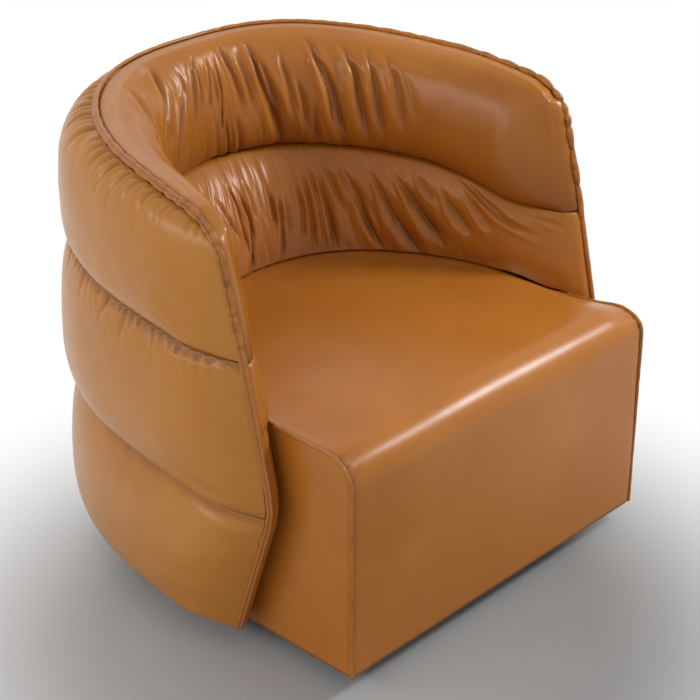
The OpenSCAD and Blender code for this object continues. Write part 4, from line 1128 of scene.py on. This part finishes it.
def makeCover():
    section = waterfall(0, seat["gap"], seat["step"])
    u = np.linspace(-1, 1, int(2 * seat["half"] / seat["step"]) + 1)
    u = np.sign(u) * (1 - (1 - np.abs(u)) ** 1.15)
    half = np.minimum(seat["half"] - seat["edge"] + seat["tuck"], insideHalf(section[:, 0]) - 1)
    points = seatGrid(section, u, half)
    x, y = points[..., 0], points[..., 1]
    s = runOf(section) + 0 * x
    forward = np.gradient(section, axis=0)
    normal = grid(0, -forward[:, 1], forward[:, 0])
    normal /= np.linalg.norm(normal, axis=1, keepdims=True)
    fromSeam = half - np.abs(x)
    onFront = clamp((seat["round"] - y) / seat["round"])
    height = seat["bulge"] * onFront * (1 - (x / half) ** 2) * np.sin(np.pi * clamp(s / 420))
    height -= 1.9 * np.exp(-fromSeam / 5) * np.where(y < 150, 1, 0.4)
    rise = clamp((s - 4) / 60)
    height += 0.9 * softNoise(x / 120 + 9, s / 110, 31) * rise + 0.25 * softNoise(x / 45, s / 40, 32)
    for at, lean, length, depth in seat["cornerFolds"]:
        off = s - at - lean * fromSeam
        fold = depth * np.exp(-np.abs(off / 3.4) ** 1.6) * np.exp(-fromSeam / length)
        height -= fold * (1 - np.exp(-fromSeam / 3))
    puckers = gathers(s + 40 * np.sign(x), fromSeam, seat["puckers"], 33)
    height += 0.5 * puckers * np.exp(-((s - 365) / 150) ** 2)
    outer = points + normal * height[..., None]
    # Its fold values follow the heights: darker in the dips along the seams and in the folds, as painted
    # shade, and a little paler on the bulges.
    piece = makeSkin("seatCover", outer, outer - normal * seat["leather"], np.clip(height / 3, -1, 1))
    dress(piece, "seatHide")


def makeFoam():
    section = waterfall(seat["foamInset"], seat["foamLow"], 14.0)
    u = np.linspace(-1, 1, 45)
    half = np.minimum(seat["half"] - seat["edge"], insideHalf(section[:, 0]) - 1) - seat["foamInset"]
    top = seatGrid(section, u, half)
    below = top[:, [-1, -1, -1, -1]].copy()
    for k, share in enumerate((1.0, 0.66, 0.33, 0.05)):
        below[:, k, 1] = top[:, 0, 1] + (top[:, -1, 1] - top[:, 0, 1]) * share
        below[:, k, 0] = u * min(half[0], insideHalf(below[0, k, 1]) - 1 - seat["foamInset"])
        below[:, k, 2] = seat["foamLow"]
    dress(makeMesh("seatFoam", sagged(np.concatenate([top, below], 1))))


makeCover()
makeFoam()


# A node's box in the units and place of the plan
def planBox(node):
    return (np.array(corner) * 1000 + [0, barrel["axis"], 0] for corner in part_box(node))


# Pads of cut foam between the wood and the leather, a little soft at their edges
def makePad(name, node, lengthwise, step=12.0, soft=1.6):
    low, high = planBox(node)
    across = 1 - lengthwise
    first, last = low[lengthwise], high[lengthwise]
    run = np.concatenate([[first, first + soft],
        np.arange(first + soft + step, last - soft - step / 2, step), [last - soft, last]])
    heights = np.arange(low[2] + soft, high[2] - soft, step)
    near, far = low[across], high[across]
    section = [(near, h) for h in heights] + [(near + soft, high[2]), (far - soft, high[2])]
    section += [(far, h) for h in heights[::-1]] + [(far - soft, low[2]), (near + soft, low[2])]
    section = np.array(section)
    middle = section.mean(0)
    rings = np.zeros((len(run), len(section), 3))
    tight = np.ones((len(run), 1))
    tight[[0, -1]] = 0.97
    rings[..., lengthwise] = run[:, None]
    rings[..., across] = middle[0] + (section[:, 0] - middle[0]) * tight ** 8
    rings[..., 2] = middle[1] + (section[:, 1] - middle[1]) * tight
    rings[..., across] += 0.3 * softNoise(rings[..., lengthwise] / 30, rings[..., 2] / 30, 61)
    dress(makeMesh(name, rings))


makePad("frontPadding", "front_padding", 0)
makePad("sidePaddingRight", "side_padding_right", 1)
makePad("sidePaddingLeft", "side_padding_left", 1)


# Felt over the springs, cut to the seat frame's outline
frameOutline = {"depths": (12.5, 398.7, 580.0), "halves": (325.5, 325.5, 234.9)}


def makeFelt():
    low, high = planBox("spring_felt")
    y = np.linspace(low[1], frameOutline["depths"][2], 48)[:, None]
    x = np.linspace(-1, 1, 54) * np.interp(y, frameOutline["depths"], frameOutline["halves"])
    rough = 0.35 * softNoise(x / 9, y / 9, 71) + 0.25 * softNoise(x / 31, y / 31, 72)
    top = grid(x, y, high[2] - 0.6 + rough)
    below = grid(x, y, low[2] + 0.6 + rough)
    dress(makeMesh("springFelt", np.concatenate([top, below[:, ::-1]], 1)))


makeFelt()


# Cloth stapled under the seat frame, round the swivel board. It sags a little between the two.
dust = {"hole": 173.0, "thick": 0.8, "sag": 1.6, "rows": 9, "angle": 0.09}


# A convex outline's corners and edges about the swivel's axis, and twice the area between each edge and it
def outlineParts(corners):
    corner = np.array(corners) - [0, barrel["axis"]]
    edge = np.roll(corner, -1, 0) - corner
    return corner, edge, corner[:, 0] * edge[:, 1] - corner[:, 1] * edge[:, 0]


def reachOf(corners, ray):
    corner, edge, swept = outlineParts(corners)
    toward = ray[:, :1] * edge[:, 1] - ray[:, 1:] * edge[:, 0]
    return (swept / np.maximum(toward, 1e-9)).min(1)


def makeDustCover():
    high = list(planBox("dust_cover"))[1]
    (d0, d1, d2), (h0, h1, h2) = frameOutline["depths"], frameOutline["halves"]
    outer = [(-h0, d0), (h0, d0), (h1, d1), (h2, d2), (-h2, d2), (-h1, d1)]
    r, axis = dust["hole"], barrel["axis"]
    hole = [(-r, axis - r), (r, axis - r), (r, axis + r), (-r, axis + r)]
    angles = {round(math.atan2(y - axis, x), 5) for x, y in outer + hole}
    angles = np.array(sorted(angles | {round(a, 5) for a in np.arange(-3.1, 3.14, dust["angle"])}))
    ray = np.stack([np.cos(angles), np.sin(angles)], -1)
    near = reachOf(hole, ray)[:, None]
    far = reachOf(outer, ray)[:, None]
    share = np.linspace(0, 1, dust["rows"])
    reach = near + (far - near) * share
    sunk = dust["sag"] * np.sin(np.pi * share) * clamp((far - near) / 120)
    top = grid(ray[:, :1] * reach, axis + ray[:, 1:] * reach, high[2] - sunk)
    below = top - np.array([0, 0, dust["thick"]])
    piece = makeMesh("dustCover", np.concatenate([top, below[:, ::-1]], 1), ends="joined")
    dress(piece)
    area = (outlineParts(outer)[2].sum() - outlineParts(hole)[2].sum()) / 2e6


makeDustCover()


# Strips that follow the barrel's wall: the leather stretched over its inner board, and the cloth below
def wallStrip(name, first, last, low, high, rows):
    q, side, along = stations(9.0)
    height = low + (high(q)[:, None] - low) * np.linspace(0, 1, rows)
    start = armFront(height) + barrel["facing"] + barrel["gap"]
    faces = []
    for out in (first, last):
        x, y = planPoint(barrel["lining"] + out, barrel["depth"] - barrel["wall"] + out, barrel["power"],
            q[:, None], start)
        faces.append(grid(x * side[:, None], y, height))
    piece = makeMesh(name, np.concatenate([faces[0], faces[1][:, ::-1]], 1))
    return dress(piece), faces[0]


def gridArea(points):
    a = points[1:, 1:] - points[:-1, :-1]
    b = points[1:, :-1] - points[:-1, 1:]
    return float(np.linalg.norm(np.cross(a, b), axis=-1).sum() / 2) / 1e6


def makeInnerLining():
    low = list(planBox("inner_lining"))[0][2]
    depth = barrel["topSetback"] + barrel["facing"]
    piece, face = wallStrip("innerLining", 0.1, 1.9, low,
        lambda q: rimHeight(depthAt(q, depth)) - rolls["frameDrop"] - 0.2, 24)
    area = gridArea(face)
    tall = face[..., 2].max() - low
    wide = 1.08 * area / (tall / 1000)  # its slanted ends are cut from a longer piece
    tall / 1000


def makeUnderside():
    inset = 0.4
    wide = barrel["wall"] - 2 * inset
    piece, face = wallStrip("barrelUnderside", inset, barrel["wall"] - inset, barrel["hem"] + 0.1,
        lambda q: barrel["hem"] + 0.9 + 0 * q, 2)
    run = np.linalg.norm(np.diff(face[:, 0], axis=0), axis=1).sum() + wide


makeInnerLining()
makeUnderside()
print("filling and cloths made")


# Side panels, over their padding
def makeSidePanel(name, side):
    low, turn, inset = seat["gap"], seat["top"] - seat["round"], seat["edge"] - seat["tuck"]
    r = seat["round"] - inset
    arc = turn + r * np.sin(np.linspace(0, math.pi / 2, 10))
    z = np.concatenate([np.arange(low, turn, 8.0), arc])[:, None]
    start = np.where(z < turn, inset, seat["round"] - np.sqrt(np.maximum(0, r * r - (z - turn) ** 2)))
    y = start + (seat["panelDepth"] - start) * np.linspace(0, 1, 40)
    z = z + 0 * y
    fromArc = r - np.hypot(np.minimum(y, seat["round"]) - seat["round"], z - turn)
    fromSeam = np.minimum(np.where(z < turn, y - inset, fromArc), seat["top"] - inset - z)
    edge = np.maximum(0, np.where(z < turn, y - inset, fromSeam))
    fromSeam = np.maximum(0, fromSeam)
    swell = 1.6 * (1 - np.exp(-fromSeam / 30)) - 0.8 * np.exp(-fromSeam / 4)
    swell += 0.5 * softNoise(y / 70, z / 80, 41)
    s = np.arctan2(z - turn, seat["round"] - y) * 60 + z * 0.3
    puckers = gathers(s, fromSeam, seat["cornerPuckers"], 42)
    swell += 0.8 * puckers * np.exp(-(np.hypot(y - 30, z - 380) / 60) ** 2)
    outer = grid(side * (seat["half"] - 1 + swell), y, z)
    inner = grid(side * (seat["half"] - seat["leather"]), y, z)
    # Its fold values darken it along its seams, as painted shade.
    dress(makeSkin(name, outer, inner, -0.5 * np.exp(-edge / 2.5)), "seatHide")


makeSidePanel("sidePanelRight", 1)
makeSidePanel("sidePanelLeft", -1)


# Piping on the block's side seams
def pipingPath(side):
    x = side * (seat["half"] - seat["proud"])
    turn = seat["top"] - seat["round"]
    r = seat["round"] - seat["proud"]
    end = armFront(seat["top"]) + barrel["facing"]
    up = [(x, seat["proud"], z) for z in np.linspace(seat["gap"], turn, 60)]
    arc = [(x, seat["round"] - r * math.cos(a), turn + r * math.sin(a))
        for a in np.linspace(0, math.pi / 2, 20)[1:]]
    top = [(x, y, seat["top"] - seat["proud"]) for y in np.linspace(seat["round"], end, 24)[1:]]
    return np.array(up + arc + top)


def makePiping(name, side):
    path, at = evenPath(sagged(pipingPath(side)), 2.5)
    path = smoothed(path)
    path[:, 0] += side * 0.25 * softNoise(at / 17, 0, 51)
    angles = np.linspace(0, 2 * np.pi, 15)[:-1]
    section = np.stack([np.cos(angles), np.sin(angles)], -1) * seat["piping"]
    normal = np.tile([side * 1.0, 0, 0], (len(path), 1))
    size = 1 + 0.06 * softNoise(at / 8, 0, 52) + 0.04 * softNoise(at / 31, 0, 53)
    rings = sweepSection(path, section, normal, size)
    shade = 0.3 * softNoise(at / 9, 0, 54)[:, None] + 0 * rings[..., 0]
    dress(makeMesh(name, rings, shade))


makePiping("sidePipingRight", 1)
makePiping("sidePipingLeft", -1)
print("seat block made")

# Floor and backdrop. The floor is grey under the chair, as painted shadow on top of the real shadow it takes
# there, and white further off, where it is also what gloss and glass show. Its grey is paler towards the
# camera's left, where the chair's real shadow falls, as painted light, and darker towards its right, as
# painted shade.

floorLook = {
    "centre": (-0.21, -0.28), "near": 0.36, "far": 0.92, "left": 0.5, "right": 0.31, "fill": 0.5,
    "towards": (0.72, -0.69, 0.0), "over": 0.35, "size": 40,
}


def directRays(tree):
    rays = makeNode(tree, "ShaderNodeLightPath").socket.node
    camera, gloss, clear = (Wire(tree, rays.outputs[name]) for name in
        ("Is Camera Ray", "Is Glossy Ray", "Is Transmission Ray"))
    return camera + gloss + clear


where = newMaterial("paleFloor")
shifted = where.node("ShaderNodeMapping", inputs={
    "Vector": where, "Location": (-floorLook["centre"][0], -floorLook["centre"][1], 0.0)})
distance = where.node("ShaderNodeVectorMath", {"operation": "LENGTH"}, {0: shifted}, "Value")
white = where.node("ShaderNodeMapRange", {"interpolation_type": "SMOOTHSTEP"}, {
    "Value": distance, "From Min": floorLook["near"], "From Max": floorLook["far"]})
across = where.node("ShaderNodeVectorMath", {"operation": "DOT_PRODUCT"},
    {0: shifted, 1: floorLook["towards"]}, "Value")
left, right = ((floorLook[name],) * 3 for name in ("left", "right"))
matt = where.node("ShaderNodeBsdfPrincipled", inputs={
    "Base Color": mixColour(spread(across, -floorLook["over"], floorLook["over"]), left, right),
    "Roughness": 0.9, "Specular IOR Level": 0.2})
bright = where.node("ShaderNodeEmission", inputs={"Color": (1.0, 1.0, 1.0), "Strength": 1.0})
showShader(where.node("ShaderNodeMixShader", inputs={
    0: white * directRays(where.tree), 1: matt, 2: bright}))
bpy.ops.object.select_all(action="DESELECT")
bpy.ops.mesh.primitive_plane_add(size=floorLook["size"], location=(0, 0, 0))
floor = bpy.context.active_object
floor.name = "floor"
floor.data.materials.append(looks["paleFloor"])

world = bpy.data.worlds.new("studio")
scene.world = world
world.use_nodes = True
sky = world.node_tree
strength = spread(directRays(sky), 0.0, 1.0, floorLook["fill"], 1.0)
sky.links.new(strength.socket, sky.nodes["Background"].inputs["Strength"])
sky.nodes["Background"].inputs["Color"].default_value = (1, 1, 1, 1)
